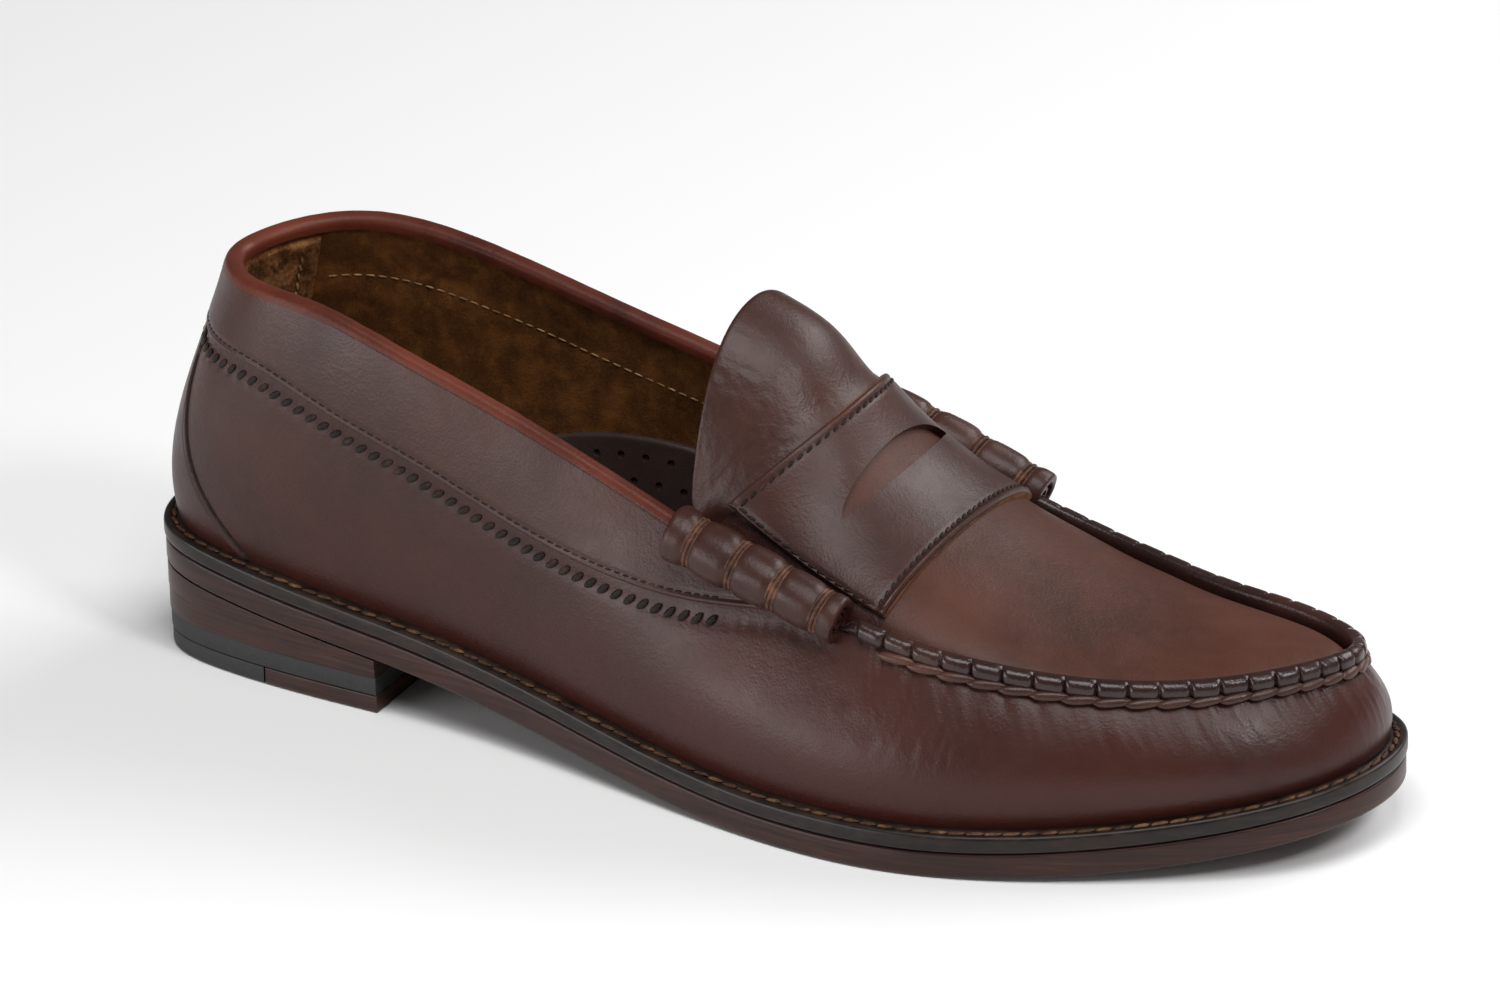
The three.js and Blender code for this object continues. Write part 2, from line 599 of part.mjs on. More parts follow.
const deeper = (extra) => (s, v) => liningDepth(s, v) + extra;
const quarterHeights = (s) => marks(0.02, 0.985 - 0.1 * underRoll(s), CLIMB);
add('quarter_lining', shell(rearPlaces(0.29), quarterHeights, deeper(0), deeper(LINING)), 'suede', 0.95);
const vampHeights = () => marks(0.02, 5 / CLIMB, CLIMB);
const vampLining = shell(marks(0.293, 0.707, ROUND), vampHeights, deeper(0), deeper(LINING));
add('vamp_lining', vampLining, 'board', 0.9);

const GRIP = 0.8;                // thickness of the suede heel grip
const gripDepth = LINING + GAP;
const gripHeights = () => marks(0.5, 0.94, CLIMB);
const grip = shell(rearPlaces(0.05), gripHeights, deeper(gripDepth), deeper(gripDepth + GRIP));
add('heel_grip', grip, 'suede', 0.95);

const plugLiningPlaces = marks(STRAP_REAR_S + 0.003, 0.478, TOP_ROUND);
const plugLining = topSlab(plugLiningPlaces, ACROSS_TOP.slice(1, -1), instep, under, under + LINING);
add('plug_lining', plugLining, 'board', 0.9);

// The sock liner climbs the inner wall of the waist as a moulded arch support.
const ARCH_TOP = [[0.1], [0.26], [0.44], [0.56], [0.6], [0.5], [0.12]];
const archPlaces = marks(0.725, 0.875, ROUND);
const archSupport = slab(archPlaces.map((s) => {
  const top = onPath(ARCH_TOP, (0.875 - s) / 0.15)[0];
  const depth = (v) => liningDepth(s, v) + LINING + GAP;
  const heights = steps(0.08, top, 4);
  const floor = (lift) => {
    const p = outline(s, INNER_EDGE + 1.5);
    return p.setZ(soleBottom(p.x) + sockFloor + lift);
  };
  return {
    outer: [floor(0.3), ...heights.map((v) => wall(s, v, depth(v)))],
    inner: [floor(SOCK), ...heights.map((v) => wall(s, v, depth(v) + SOCK))],
  };
}));
add('sock_liner', merge(sock, archSupport), 'sock', 0.55);

// Tongue and its lining: rounded flap behind the strap.
const tongueReach = (w) => {
  const rounded = (1 - Math.abs(2 * w - 1) ** 2.2) ** 0.5;
  return TONGUE_ROOT + 0.05 + (0.95 - TONGUE_ROOT) * rounded;
};
function flap(outerDepth, innerDepth, inset) {
  const across = steps(inset, 1 - inset, 10);
  return slab(steps(1, 0, 6).map((q) => {
    const at = (w, depth) => tongueAt(TONGUE_ROOT + q * (tongueReach(w) - TONGUE_ROOT - inset), w, depth);
    return {
      outer: across.map((w) => at(w, outerDepth)),
      inner: across.map((w) => at(w, innerDepth)),
    };
  }));
}
add('tongue', flap(0, LEATHER, 0.02), 'upper', 0.35);
add('tongue_lining', flap(under, under + LINING, 0.03), 'suede', 0.9);

// ---------------------------------------------------------------- sewing threads

const weltLine = steps(0, 1, 64).slice(0, 64).map((s) => {
  const p = outline(s, 2.4);
  return p.setZ(soleBottom(p.x) + SOLE_STACK + GAP + 0.45);
});
add('welt_thread', thread(weltLine, 0.4, 4, 80, true), 'thread', 0.7);
const seamLine = steps(0.332, 0.668, 40).map((s) => wall(s, 0.93, -1.4));
add('moc_seam_thread', thread(seamLine, 0.4, 4, 60), 'thread', 0.7);
const whipLine = rearPlaces(0.24).map((s) => wall(s, bandBottom(s) - 0.05, -0.4 - 0.3 - GAP));
add('collar_thread', thread(whipLine, 0.4, 4, 72), 'thread', 0.7);
const edgeInset = 0.006;
const strapSide = 0.11;
const strapLoop = [
  ...steps(strapSide, 1 - strapSide, 10).map((w) => [STRAP_REAR_S + edgeInset, w]),
  ...steps(1 - strapSide, strapSide, 10).map((w) => [STRAP_FRONT_S - edgeInset, w]),
].map(([s, w]) => instep(s, w, -LEATHER - 2 * GAP - 0.35));
add('strap_thread', thread(strapLoop, 0.35, 4, 60, true), 'thread', 0.7);
for (const [side, sign] of [['lateral', 1], ['medial', -1]]) {
  const depth = (s) => liningDepth(s, 0.8) + LINING + GAP + 0.5;
  const line = steps(0.06, 0.235, 24).map((s) => wall(sign * s, 0.8, depth(s)));
  add(`lining_thread_${side}`, thread(line, 0.3, 4, 30), 'tan', 0.7);
}

export default loafer;
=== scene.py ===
"""Looks of the penny loafer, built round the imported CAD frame.

Shapes are worked out in millimetres and become metres when a mesh is made. A place s runs once round the
shoe: 0 at the back of the heel, 0.5 at the toe, the outer side first. A height v climbs the upper's wall
from 0 at the welt to 1 at the rim.
"""
import json
import math

import bpy
import numpy as np
from mathutils import Matrix, Vector


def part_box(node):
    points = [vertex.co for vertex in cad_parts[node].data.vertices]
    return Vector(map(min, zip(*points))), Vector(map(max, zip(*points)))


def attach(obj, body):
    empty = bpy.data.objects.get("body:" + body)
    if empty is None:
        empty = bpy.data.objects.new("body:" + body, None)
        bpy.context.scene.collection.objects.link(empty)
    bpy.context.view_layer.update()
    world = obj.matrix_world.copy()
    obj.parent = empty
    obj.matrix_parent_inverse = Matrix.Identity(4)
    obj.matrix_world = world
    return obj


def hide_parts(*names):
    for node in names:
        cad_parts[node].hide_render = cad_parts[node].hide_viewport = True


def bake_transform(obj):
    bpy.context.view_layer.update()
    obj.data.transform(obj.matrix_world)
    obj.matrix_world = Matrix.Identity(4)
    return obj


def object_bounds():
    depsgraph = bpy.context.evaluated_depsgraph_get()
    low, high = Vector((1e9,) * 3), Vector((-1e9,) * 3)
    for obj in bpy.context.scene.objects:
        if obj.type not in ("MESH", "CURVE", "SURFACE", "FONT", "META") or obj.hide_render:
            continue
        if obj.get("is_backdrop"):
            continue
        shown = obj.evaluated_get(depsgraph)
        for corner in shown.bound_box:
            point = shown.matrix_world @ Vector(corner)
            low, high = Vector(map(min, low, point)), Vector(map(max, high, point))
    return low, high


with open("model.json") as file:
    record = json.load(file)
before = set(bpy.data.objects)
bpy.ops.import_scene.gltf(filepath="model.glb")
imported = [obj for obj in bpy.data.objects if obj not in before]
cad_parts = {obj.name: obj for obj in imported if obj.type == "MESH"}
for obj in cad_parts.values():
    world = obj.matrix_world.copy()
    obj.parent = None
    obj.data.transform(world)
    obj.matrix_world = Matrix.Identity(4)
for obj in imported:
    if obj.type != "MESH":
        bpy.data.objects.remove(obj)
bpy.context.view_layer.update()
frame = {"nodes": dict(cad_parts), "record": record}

# ---- driving dimensions, in millimetres

MM = 0.001
FORWARDS, INWARDS, UPWARDS = np.eye(3)
LEATHER = 1.8
LINING = 1.0
STIFFENER = 1.2
GAP = 0.3
WELT_LEDGE = 4.5
OUTSOLE = 6.0
SOLE_STACK = 10.3
INSOLE_EDGE = 10.2
SOCK_FLOOR = 13.1
HEEL_FRONT = 13.4
HEEL_PITCH = 8 / 67
HEEL_BREAST_X = -85
BREAST_S = 0.1535
SPLIT_S = 0.1035
TOP_PIECE = 4.2
HEEL_BAND = 4.0
WAIST_RUN = 115
BALL_X = 60
TOE_RUN = 92
TOE_SPRING = 10.4
SEAM_S = 0.296                   # where the raised toe seam starts
STRAP_REAR_S = 0.2504
STRAP_FRONT_S = 0.3035
STRAP_SIDE = 0.08
CREST_END_S = 0.24               # the instep's crest is drawn from the toe back to here
COLLAR_END_S = 0.285
BINDING_END_S = 0.246
PLUG_INSET = 3.0
TONGUE_EDGE = 5.0
TONGUE_LEAN = 0.8                # the tongue's crest lies this far towards the inner side

# The same control points as in the CAD: the welt's plan, the rim, the wall's fullness, the collar's height,
# the crests of instep and tongue, and the axes of the beef rolls.
WELT = [
    (-154, 7), (-150, -15), (-129, -22), (-104, -26), (-77, -28), (-43, -33), (2, -47), (49, -57),
    (82, -49), (108, -38), (129, -27), (147, -13), (155, 7), (150, 27), (133, 42), (110, 51),
    (84, 55), (49, 51), (4, 37), (-43, 31), (-77, 36), (-104, 39), (-128, 37), (-150, 29),
]
RIM = [
    (-139, 6, 94), (-129, -10, 95), (-117, -18.5, 96), (-99, -22, 96), (-78, -24, 89), (-53, -25, 81),
    (-21, -27, 69), (18, -32, 54), (51, -40, 46), (77, -36, 42), (98, -29.5, 39.5), (116, -21, 39),
    (131, -9.5, 39.5), (145, 5, 41), (141, 21.5, 38), (122, 29.5, 39), (102, 33, 38.8), (80, 37, 42),
    (54, 41, 46.5), (23, 38.5, 60), (-16, 33.5, 75), (-50, 32.5, 84), (-75, 33, 91), (-97, 33, 96),
    (-114, 30, 98), (-128, 21, 97),
]
FULLNESS = [
    (6, 6), (6, 6), (5, 6), (4, 7), (5, 9), (5, 8), (1, 4), (5, 8), (5, 8), (3, 6), (3, 4), (6, 5),
]
HALF_COLLAR = (14, 16.5, 16.5, 22.5, 21, 23.8, 16.3, -5, -2, -2, -2, -2, -2)
COLLAR_HEIGHT = [(h,) for h in HALF_COLLAR + HALF_COLLAR[-2:0:-1]]
CREST = [
    (141, 42), (132.6, 43.6), (118.1, 43), (100.2, 43.8), (80.2, 48.7), (58.8, 56.8), (36.2, 67.5),
    (19.2, 92.9),
]
TONGUE_CREST = [(25.9, 83.1), (20.5, 87.9), (14, 99.3), (-2.3, 105.5)]
TONGUE_FEET = [(0.2564, -1), (0.246, -2), (0.238, -2.5), (0.2265, -1)]
ROLL_AXIS = {
    "lateral": [(-4, -33, 63), (18, -35.7, 57.5), (40, -38, 51)],
    "medial": [(3, 38.5, 70), (27.5, 41.5, 60.8), (51.5, 42.6, 51)],
}
ROLL_RADIUS = 5.6
ROLL_TIES = (0.14, 0.39, 0.64, 0.885)
STAY_WIDTH = [(0.0935,), (0.072,), (0.055,), (0.041,), (0.028,), (0.026,)]   # half width, from welt to collar

# ---- curves


def shares(f):
    f = np.asarray(f, float)[..., None]
    near = 3 * f**3 - 6 * f**2 + 4
    far = -3 * f**3 + 3 * f**2 + 3 * f + 1
    return np.concatenate([(1 - f) ** 3, near, far, f**3], -1) / 6


def on_loop(points, s):
    """Smooth closed curve steered by control points."""
    points = np.asarray(points, float)
    t = (np.asarray(s, float) % 1) * len(points)
    i = np.floor(t).astype(int)
    b = shares(t - i)
    return sum(b[..., k : k + 1] * points[(i + k - 1) % len(points)] for k in range(4))


def on_path(points, f):
    """Smooth open curve from the first to the last point."""
    points = np.asarray(points, float)
    every = np.vstack([2 * points[0] - points[1], points, 2 * points[-1] - points[-2]])
    spans = len(points) - 1
    t = np.clip(np.asarray(f, float), 0, 1) * spans
    i = np.minimum(np.floor(t).astype(int), spans - 1)
    b = shares(t - i)
    return sum(b[..., k : k + 1] * every[i + k] for k in range(4))


def ease(low, high, x):
    t = np.clip((np.asarray(x, float) - low) / (high - low), 0, 1)
    return t * t * (3 - 2 * t)


def unit(v):
    return v / np.linalg.norm(v, axis=-1, keepdims=True)


def bezier(p, f):
    f = np.asarray(f, float)[..., None]
    g = 1 - f
    return p[0] * g**3 + 3 * p[1] * g * g * f + 3 * p[2] * g * f * f + p[3] * f**3


def bump(x, middle, width):
    return np.exp(-(((x - middle) / width) ** 2))


def noise(u, v, seed):
    """Smooth noise from -1 to 1 over two coordinates, with features about one unit across."""
    lattice = np.random.RandomState(seed).uniform(-1, 1, (64, 64))
    u, v = np.broadcast_arrays(u, v)
    i = np.floor(u).astype(int)
    j = np.floor(v).astype(int)
    a = ease(0, 1, u - i)
    b = ease(0, 1, v - j)
    low = lattice[i % 64, j % 64] * (1 - a) + lattice[(i + 1) % 64, j % 64] * a
    high = lattice[i % 64, (j + 1) % 64] * (1 - a) + lattice[(i + 1) % 64, (j + 1) % 64] * a
    return low * (1 - b) + high * b


# ---- the shoe's surfaces


def sole_bottom(x):
    x = np.asarray(x, float)
    t = np.clip((x - HEEL_BREAST_X) / WAIST_RUN, 0, 1)
    waist = HEEL_FRONT * (1 - t) ** 2 * (1 + 2 * t) - HEEL_PITCH * WAIST_RUN * t * (1 - t) ** 2
    seat = HEEL_FRONT + HEEL_PITCH * (HEEL_BREAST_X - x)
    spring = np.where(x > BALL_X, TOE_SPRING * ((x - BALL_X) / TOE_RUN) ** 2, 0)
    return np.where(x < HEEL_BREAST_X, seat, waist) + spring


def outward(points, s):
    along = on_loop(points, np.asarray(s) + 0.002) - on_loop(points, np.asarray(s) - 0.002)
    return unit(np.stack([along[..., 1], -along[..., 0], 0 * along[..., 0]], -1))


def outline(s, inset):
    p = on_loop(WELT, s)
    p = np.concatenate([p, 0 * p[..., :1]], -1)
    return p - outward(WELT, s) * np.asarray(inset, float)[..., None]


def wall_skin(s, v):
    s, v = np.broadcast_arrays(np.asarray(s, float), np.asarray(v, float))
    foot = outline(s, WELT_LEDGE)
    foot[..., 2] = sole_bottom(foot[..., 0]) + SOLE_STACK
    rim = on_loop(RIM, s)
    out = outward(WELT, s)
    full = on_loop(FULLNESS, s)
    rise = (rim[..., 2] - foot[..., 2]) / 3
    low = foot + out * full[..., :1]
    low[..., 2] = foot[..., 2] + rise
    high = rim + out * full[..., 1:]
    high[..., 2] = rim[..., 2] - rise
    return bezier([foot, low, high, rim], v)


def wall_normal(s, v):
    along = wall_skin(s + 0.003, v) - wall_skin(s - 0.003, v)
    low = np.maximum(v - 0.02, 0)
    return unit(np.cross(along, wall_skin(s, low + 0.04) - wall_skin(s, low)))


def wall(s, v, depth):
    s, v, depth = np.broadcast_arrays(s, v, depth)
    return wall_skin(s, v) - wall_normal(s, v) * depth[..., None]


def wall_height(s):
    return np.linalg.norm(wall_skin(s, 1.0) - wall_skin(s, 0.0), axis=-1)


def band_bottom(s):
    return 1 - on_loop(COLLAR_HEIGHT, s)[..., 0] / wall_height(s)


def from_heel(s):
    s = np.asarray(s, float) % 1
    return np.minimum(s, 1 - s)


def arch(left, right, crest, shoulder, w, lean=0.0):
    middle = (left + right) / 2
    top = np.stack([crest[..., 0], middle[..., 1] + lean, crest[..., 1]], -1)
    lift = (top - middle) / 0.75
    across = (right - left) * shoulder
    return bezier([left, left + lift + across, right + lift - across, right], w)


def instep_skin(s, w):
    s, w = np.broadcast_arrays(np.asarray(s, float), np.asarray(w, float))
    left = on_loop(RIM, s) - outward(RIM, s) * PLUG_INSET
    right = on_loop(RIM, 1 - s) - outward(RIM, 1 - s) * PLUG_INSET
    crest = on_path(CREST, (0.5 - s) / (0.5 - CREST_END_S))
    return arch(left, right, crest, 0.085, w)


def tongue_skin(q, w):
    q, w = np.broadcast_arrays(np.asarray(q, float), np.asarray(w, float))
    feet = on_path(TONGUE_FEET, q)
    s = feet[..., 0]
    left = on_loop(RIM, s) - outward(RIM, s) * TONGUE_EDGE
    right = on_loop(RIM, 1 - s) - outward(RIM, 1 - s) * TONGUE_EDGE
    left[..., 2] += feet[..., 1]
    right[..., 2] += feet[..., 1]
    return arch(left, right, on_path(TONGUE_CREST, q), 0.0, w, TONGUE_LEAN)


def top_normal(skin, a, w, step):
    low = np.clip(w - 0.01, 0, 0.98)
    along = skin(a + step, w) - skin(a - step, w)
    return unit(np.cross(along, skin(a, low + 0.02) - skin(a, low)))


def instep(s, w, depth):
    s, w, depth = np.broadcast_arrays(s, w, depth)
    step = np.minimum(0.002, np.maximum(0.5 - s, 0.0004) / 2)
    return instep_skin(s, w) - top_normal(instep_skin, s, w, step) * depth[..., None]


def tongue_at(q, w, depth):
    q, w, depth = np.broadcast_arrays(q, w, depth)
    return tongue_skin(q, w) - top_normal(tongue_skin, q, w, -0.01) * depth[..., None]


# ---- meshes

welt_low, welt_high = (np.array(corner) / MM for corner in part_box("welt"))
round_trip = outline(np.linspace(0, 1, 721), 0.0)
PLACE = (welt_low + welt_high) / 2 - (round_trip.min(0) + round_trip.max(0)) / 2
PLACE[2] = 0


def skin(outer, inner, wrap=False):
    """A closed solid between two grids of points. Inner faces come last."""
    rows, width = outer.shape[:2]
    index = np.arange(rows * width).reshape(rows, width)
    under = index + rows * width
    if wrap:
        index = np.vstack([index, index[:1]])
        under = np.vstack([under, under[:1]])

    def quads(g, flip):
        q = np.stack([g[:-1, :-1], g[1:, :-1], g[1:, 1:], g[:-1, 1:]], -1).reshape(-1, 4)
        return q[:, ::-1] if flip else q

    def rim_strip(a, b):
        return np.stack([a[:-1], b[:-1], b[1:], a[1:]], -1)

    sides = [rim_strip(index[:, 0], under[:, 0]), rim_strip(under[:, -1], index[:, -1])]
    if not wrap:
        sides += [rim_strip(under[0], index[0]), rim_strip(index[-1], under[-1])]
    faces = np.vstack([quads(index, False), *sides, quads(under, True)])
    points = np.vstack([outer.reshape(-1, 3), inner.reshape(-1, 3)])
    return points, faces.tolist()


def circle(a, b, count):
    """Points round an oval with half axes a and b."""
    angle = np.linspace(0, 2 * math.pi, count, endpoint=False)
    return np.cos(angle)[:, None] * a + np.sin(angle)[:, None] * b


def stack(rings, pair_caps=False):
    """A closed solid skinned over rings of points; its ends are closed to a middle point, or across."""
    count = len(rings[0])
    points = np.vstack(rings)
    faces = []
    around = np.arange(count)
    after = (around + 1) % count
    for k in range(len(rings) - 1):
        a, b = k * count, (k + 1) * count
        faces += np.stack([a + around, a + after, b + after, b + around], -1).tolist()
    last = (len(rings) - 1) * count
    if pair_caps:
        for i in range(count // 2):
            j = count - i
            cap = [i, j % count, j - 1, i + 1] if i else [0, count - 1, 1]
            cap = cap if i + 1 < j - 1 else [i, j % count, i + 1]
            faces.append(cap)
            faces.append([last + n for n in cap[::-1]])
    else:
        points = np.vstack([points, rings[0].mean(0), rings[-1].mean(0)])
        low, high = len(points) - 2, len(points) - 1
        faces += [[low, int(b), int(a)] for a, b in zip(around, after)]
        faces += [[high, int(last + a), int(last + b)] for a, b in zip(around, after)]
    return points, faces


def cord(path, normal, width):
    """A closed round cord along a path, drawn in at its ends."""
    tangent = unit(np.gradient(path, axis=0))
    side = unit(np.cross(tangent, normal))
    reach = np.full(len(path), width / 2)
    reach[0] = reach[-1] = 0.2 * width
    up = np.cross(side, tangent)
    return stack([p + circle(a * r, b * r, 8) for p, a, b, r in zip(path, side, up, reach)])


def join(parts):
    points, faces, start = [], [], 0
    for p, f in parts:
        points.append(p)
        faces += [[n + start for n in face] for face in f]
        start += len(p)
    return np.vstack(points), faces


def stitches(centre, along, normal, length, width, height):
    """Lens-shaped stitches that lie on a surface, one at each centre."""
    along = unit(along)
    normal = unit(normal - along * (normal * along).sum(-1, keepdims=True))
    side = np.cross(normal, along)
    t = np.linspace(-1, 1, 9)
    swell = np.sqrt(np.maximum(1 - np.abs(t) ** 2.6, 0.02))
    parts = []
    for c, a, n, b, reach in zip(centre, along, normal, side, np.broadcast_to(length, len(centre))):
        ring = circle(b * width / 2, n * height / 2, 8)
        parts.append(stack([c + k * a * reach / 2 + ring * w for k, w in zip(t, swell)]))
    return join(parts)


def add_object(name, data):
    made = bpy.data.objects.new(name, data)
    bpy.context.scene.collection.objects.link(made)
    return made


def solid(name, shape):
    """An object from points in millimetres and faces."""
    mesh = bpy.data.meshes.new(name)
    mesh.from_pydata(((shape[0] + PLACE) * MM).tolist(), [], shape[1])
    return add_object(name, mesh)


def piece(name, shape, slot, body="shoe", stands_for=(), look=None, sharp=50):
    """A visible piece; it rides on a body and stands for CAD nodes."""
    obj = solid(name, shape)
    obj.data.validate()
    obj.data.shade_smooth()
    obj.data.set_sharp_from_angle(angle=math.radians(sharp))
    obj.data.materials.append(LOOKS[look or slot])
    if body:
        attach(obj, body)
    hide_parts(*(stands_for or (name,)))
    return obj


def second_look(obj, chosen, look):
    """Gives the chosen faces, counted from the first, a look of their own."""
    obj.data.materials.append(LOOKS[look])
    index = np.zeros(len(obj.data.polygons), np.int32)
    index[: len(chosen)] = chosen
    obj.data.polygons.foreach_set("material_index", index)


def rounded(distance, radius):
    """How far a rounded edge drops, this far from it."""
    inside = np.clip(1 - distance / radius, 0, 1)
    return radius * (1 - np.sqrt(1 - inside**2))


def even(low, high, count):
    return np.linspace(low, high, count + 1)


def edged(length, radius, count):
    """Fractions along a length, closer together at both rounded ends."""
    near = radius * (1 - np.cos(np.linspace(0, math.pi / 2, 5))) / length
    return np.concatenate([near, np.linspace(near[-1], 1 - near[-1], count)[1:-1], 1 - near[::-1]])


# ---- materials


def fill(tree, made, values):
    """Sets a node's inputs: a number stays on the socket, an output is linked to it."""
    for key, value in values.items():
        if isinstance(value, bpy.types.NodeSocket):
            tree.links.new(value, made.inputs[key])
        else:
            made.inputs[key].default_value = value


def add_node(tree, kind, values=(), **settings):
    made = tree.nodes.new(kind)
    for key, value in settings.items():
        setattr(made, key, value)
    fill(tree, made, dict(values))
    return made


def new_look(name, make, *settings):
    """A material; its maker gives what goes into the shader."""
    look = bpy.data.materials.new(name)
    look.use_nodes = True
    tree = look.node_tree
    fill(tree, tree.nodes["Principled BSDF"], make(tree, *settings))
    return look


def object_place(tree):
    return add_node(tree, "ShaderNodeTexCoord").outputs["Object"]


def noise_field(tree, size, stretch=(1, 1, 1), detail=4.0, roughness=0.55, warp=0.0):
    """Noise with features of this size in metres, drawn out along the axes by stretch."""
    scale = tuple(1 / (size * k) for k in stretch)
    place = add_node(tree, "ShaderNodeMapping", {"Vector": object_place(tree), "Scale": scale}).outputs[0]
    values = {"Vector": place, "Scale": 1.0, "Detail": detail, "Roughness": roughness, "Distortion": warp}
    return add_node(tree, "ShaderNodeTexNoise", values).outputs["Fac"]


def tinted(tree, field, levels, tones):
    """Dark, middle and light tones at three levels of a field."""
    made = add_node(tree, "ShaderNodeValToRGB", {"Fac": field})
    made.color_ramp.elements.new(0.5)
    for element, level, tone in zip(made.color_ramp.elements, levels, tones):
        element.position = level
        element.color = (*tone, 1)
    return made.outputs["Color"]


def spread(tree, value, low, high, out_low, out_high):
    values = {"Value": value, "From Min": low, "From Max": high, "To Min": out_low, "To Max": out_high}
    return add_node(tree, "ShaderNodeMapRange", values).outputs["Result"]


def veil(tree, share, colour, tone):
    """Lays a tone over a colour."""
    return add_node(tree, "ShaderNodeMix", {0: share, 6: colour, 7: (*tone, 1)}, data_type="RGBA").outputs[2]


def relief(tree, *layers):
    """Bump from several (height, depth in metres) layers."""
    normal = {}
    for height, depth in layers:
        values = {"Height": height, "Strength": 1.0, "Distance": depth, **normal}
        normal = {"Normal": add_node(tree, "ShaderNodeBump", values).outputs["Normal"]}
    return normal["Normal"]


# Painted light: a redder tone laid low on the upper's wall, standing in for a reddish glow of light there.
LOW_GLOW_RED = (0.044, 0.0085, 0.0060)


def leather(tree, tones, shine, specular=0.32, grain=0.00003, painted_low_glow=False):
    """Polished leather: cloudy tone, fine pores, soft creases; on the upper a redder tone is painted towards
    the welt as a reddish glow of light.
    """
    cloud = noise_field(tree, 0.035, detail=3)
    mottle = noise_field(tree, 0.004, detail=5)
    colour = tinted(tree, cloud, (0.3, 0.52, 0.75), tones)
    colour = veil(tree, spread(tree, mottle, 0.45, 0.8, 0.0, 0.35), colour, tones[2])
    # Painted glow: the wall is redder the lower it stands, fading out by 62 mm over the floor.
    if painted_low_glow:
        height = add_node(tree, "ShaderNodeSeparateXYZ", {"Vector": object_place(tree)}).outputs["Z"]
        low = spread(tree, height, 0.014, 0.062, 0.85, 0.0)
        cloudy = spread(tree, cloud, 0.3, 0.6, 0.5, 1.0)
        patch = add_node(tree, "ShaderNodeMath", {0: low, 1: cloudy}, operation="MULTIPLY").outputs[0]
        colour = veil(tree, patch, colour, LOW_GLOW_RED)
    smear = noise_field(tree, 0.012, detail=6)
    pores = {"Vector": object_place(tree), "Scale": 1500.0}
    cells = add_node(tree, "ShaderNodeTexVoronoi", pores).outputs["Distance"]
    crease = noise_field(tree, 0.0022, detail=6, roughness=0.6, warp=0.6)
    return {
        "Base Color": colour, "Roughness": spread(tree, smear, 0.3, 0.7, *shine),
        "Specular IOR Level": specular, "Normal": relief(tree, (crease, grain * 3), (cells, grain))}


def suede(tree, tones, size, depth=0.0004):
    """Suede: a soft broken nap with darker brushed patches."""
    patch = noise_field(tree, 0.005, detail=6, warp=0.3)
    nap = noise_field(tree, size, detail=6, roughness=0.75)
    colour = tinted(tree, patch, (0.32, 0.5, 0.7), tones)
    colour = veil(tree, spread(tree, nap, 0.5, 0.72, 0.0, 0.75), colour, tones[2])
    colour = veil(tree, spread(tree, nap, 0.47, 0.3, 0.0, 0.7), colour, tones[0])
    return {
        "Base Color": colour, "Normal": relief(tree, (nap, depth)), "Roughness": 0.95,
        "Specular IOR Level": 0.15, "Sheen Weight": 0.15, "Sheen Roughness": 0.5,
        "Sheen Tint": (0.9, 0.45, 0.18, 1)}


def streaked(tree, tones, shine, stretch, size, depth):
    """Stacked or sanded leather: fine streaks that run along the sole's edge."""
    streak = noise_field(tree, size, stretch, detail=6, roughness=0.65, warp=0.3)
    cloud = noise_field(tree, 0.018, (1.5, 1.5, 0.5))
    colour = tinted(tree, streak, (0.36, 0.5, 0.66), tones)
    colour = veil(tree, spread(tree, cloud, 0.45, 0.7, 0.0, 0.7), colour, tones[0])
    return {
        "Base Color": colour, "Roughness": spread(tree, streak, 0.3, 0.7, *shine), "Specular IOR Level": 0.3,
        "Normal": relief(tree, (streak, depth))}


def twisted(tree, tones, roughness=0.6):
    """Waxed sewing thread with a fine twist."""
    strand = noise_field(tree, 0.0005, (2, 1, 1), detail=3)
    fleck = noise_field(tree, 0.004, detail=3)
    colour = tinted(tree, fleck, (0.35, 0.55, 0.72), tones)
    colour = veil(tree, spread(tree, strand, 0.55, 0.75, 0.0, 0.6), colour, tones[2])
    return {
        "Base Color": colour, "Roughness": roughness, "Specular IOR Level": 0.25,
        "Normal": relief(tree, (strand, 0.0003))}


def grainy(tree, tones, size, roughness, depth, metallic=0.0):
    """Cork, board, canvas, rubber or steel: grains of one size."""
    grain = noise_field(tree, size, detail=5, roughness=0.7)
    cloud = noise_field(tree, size * 9, detail=3)
    colour = tinted(tree, grain, (0.35, 0.52, 0.68), tones)
    colour = veil(tree, spread(tree, cloud, 0.4, 0.7, 0.0, 0.4), colour, tones[0])
    return {
        "Base Color": colour, "Metallic": metallic, "Normal": relief(tree, (grain, depth)),
        "Roughness": spread(tree, grain, 0.3, 0.7, roughness * 0.85, min(roughness * 1.1, 1))}


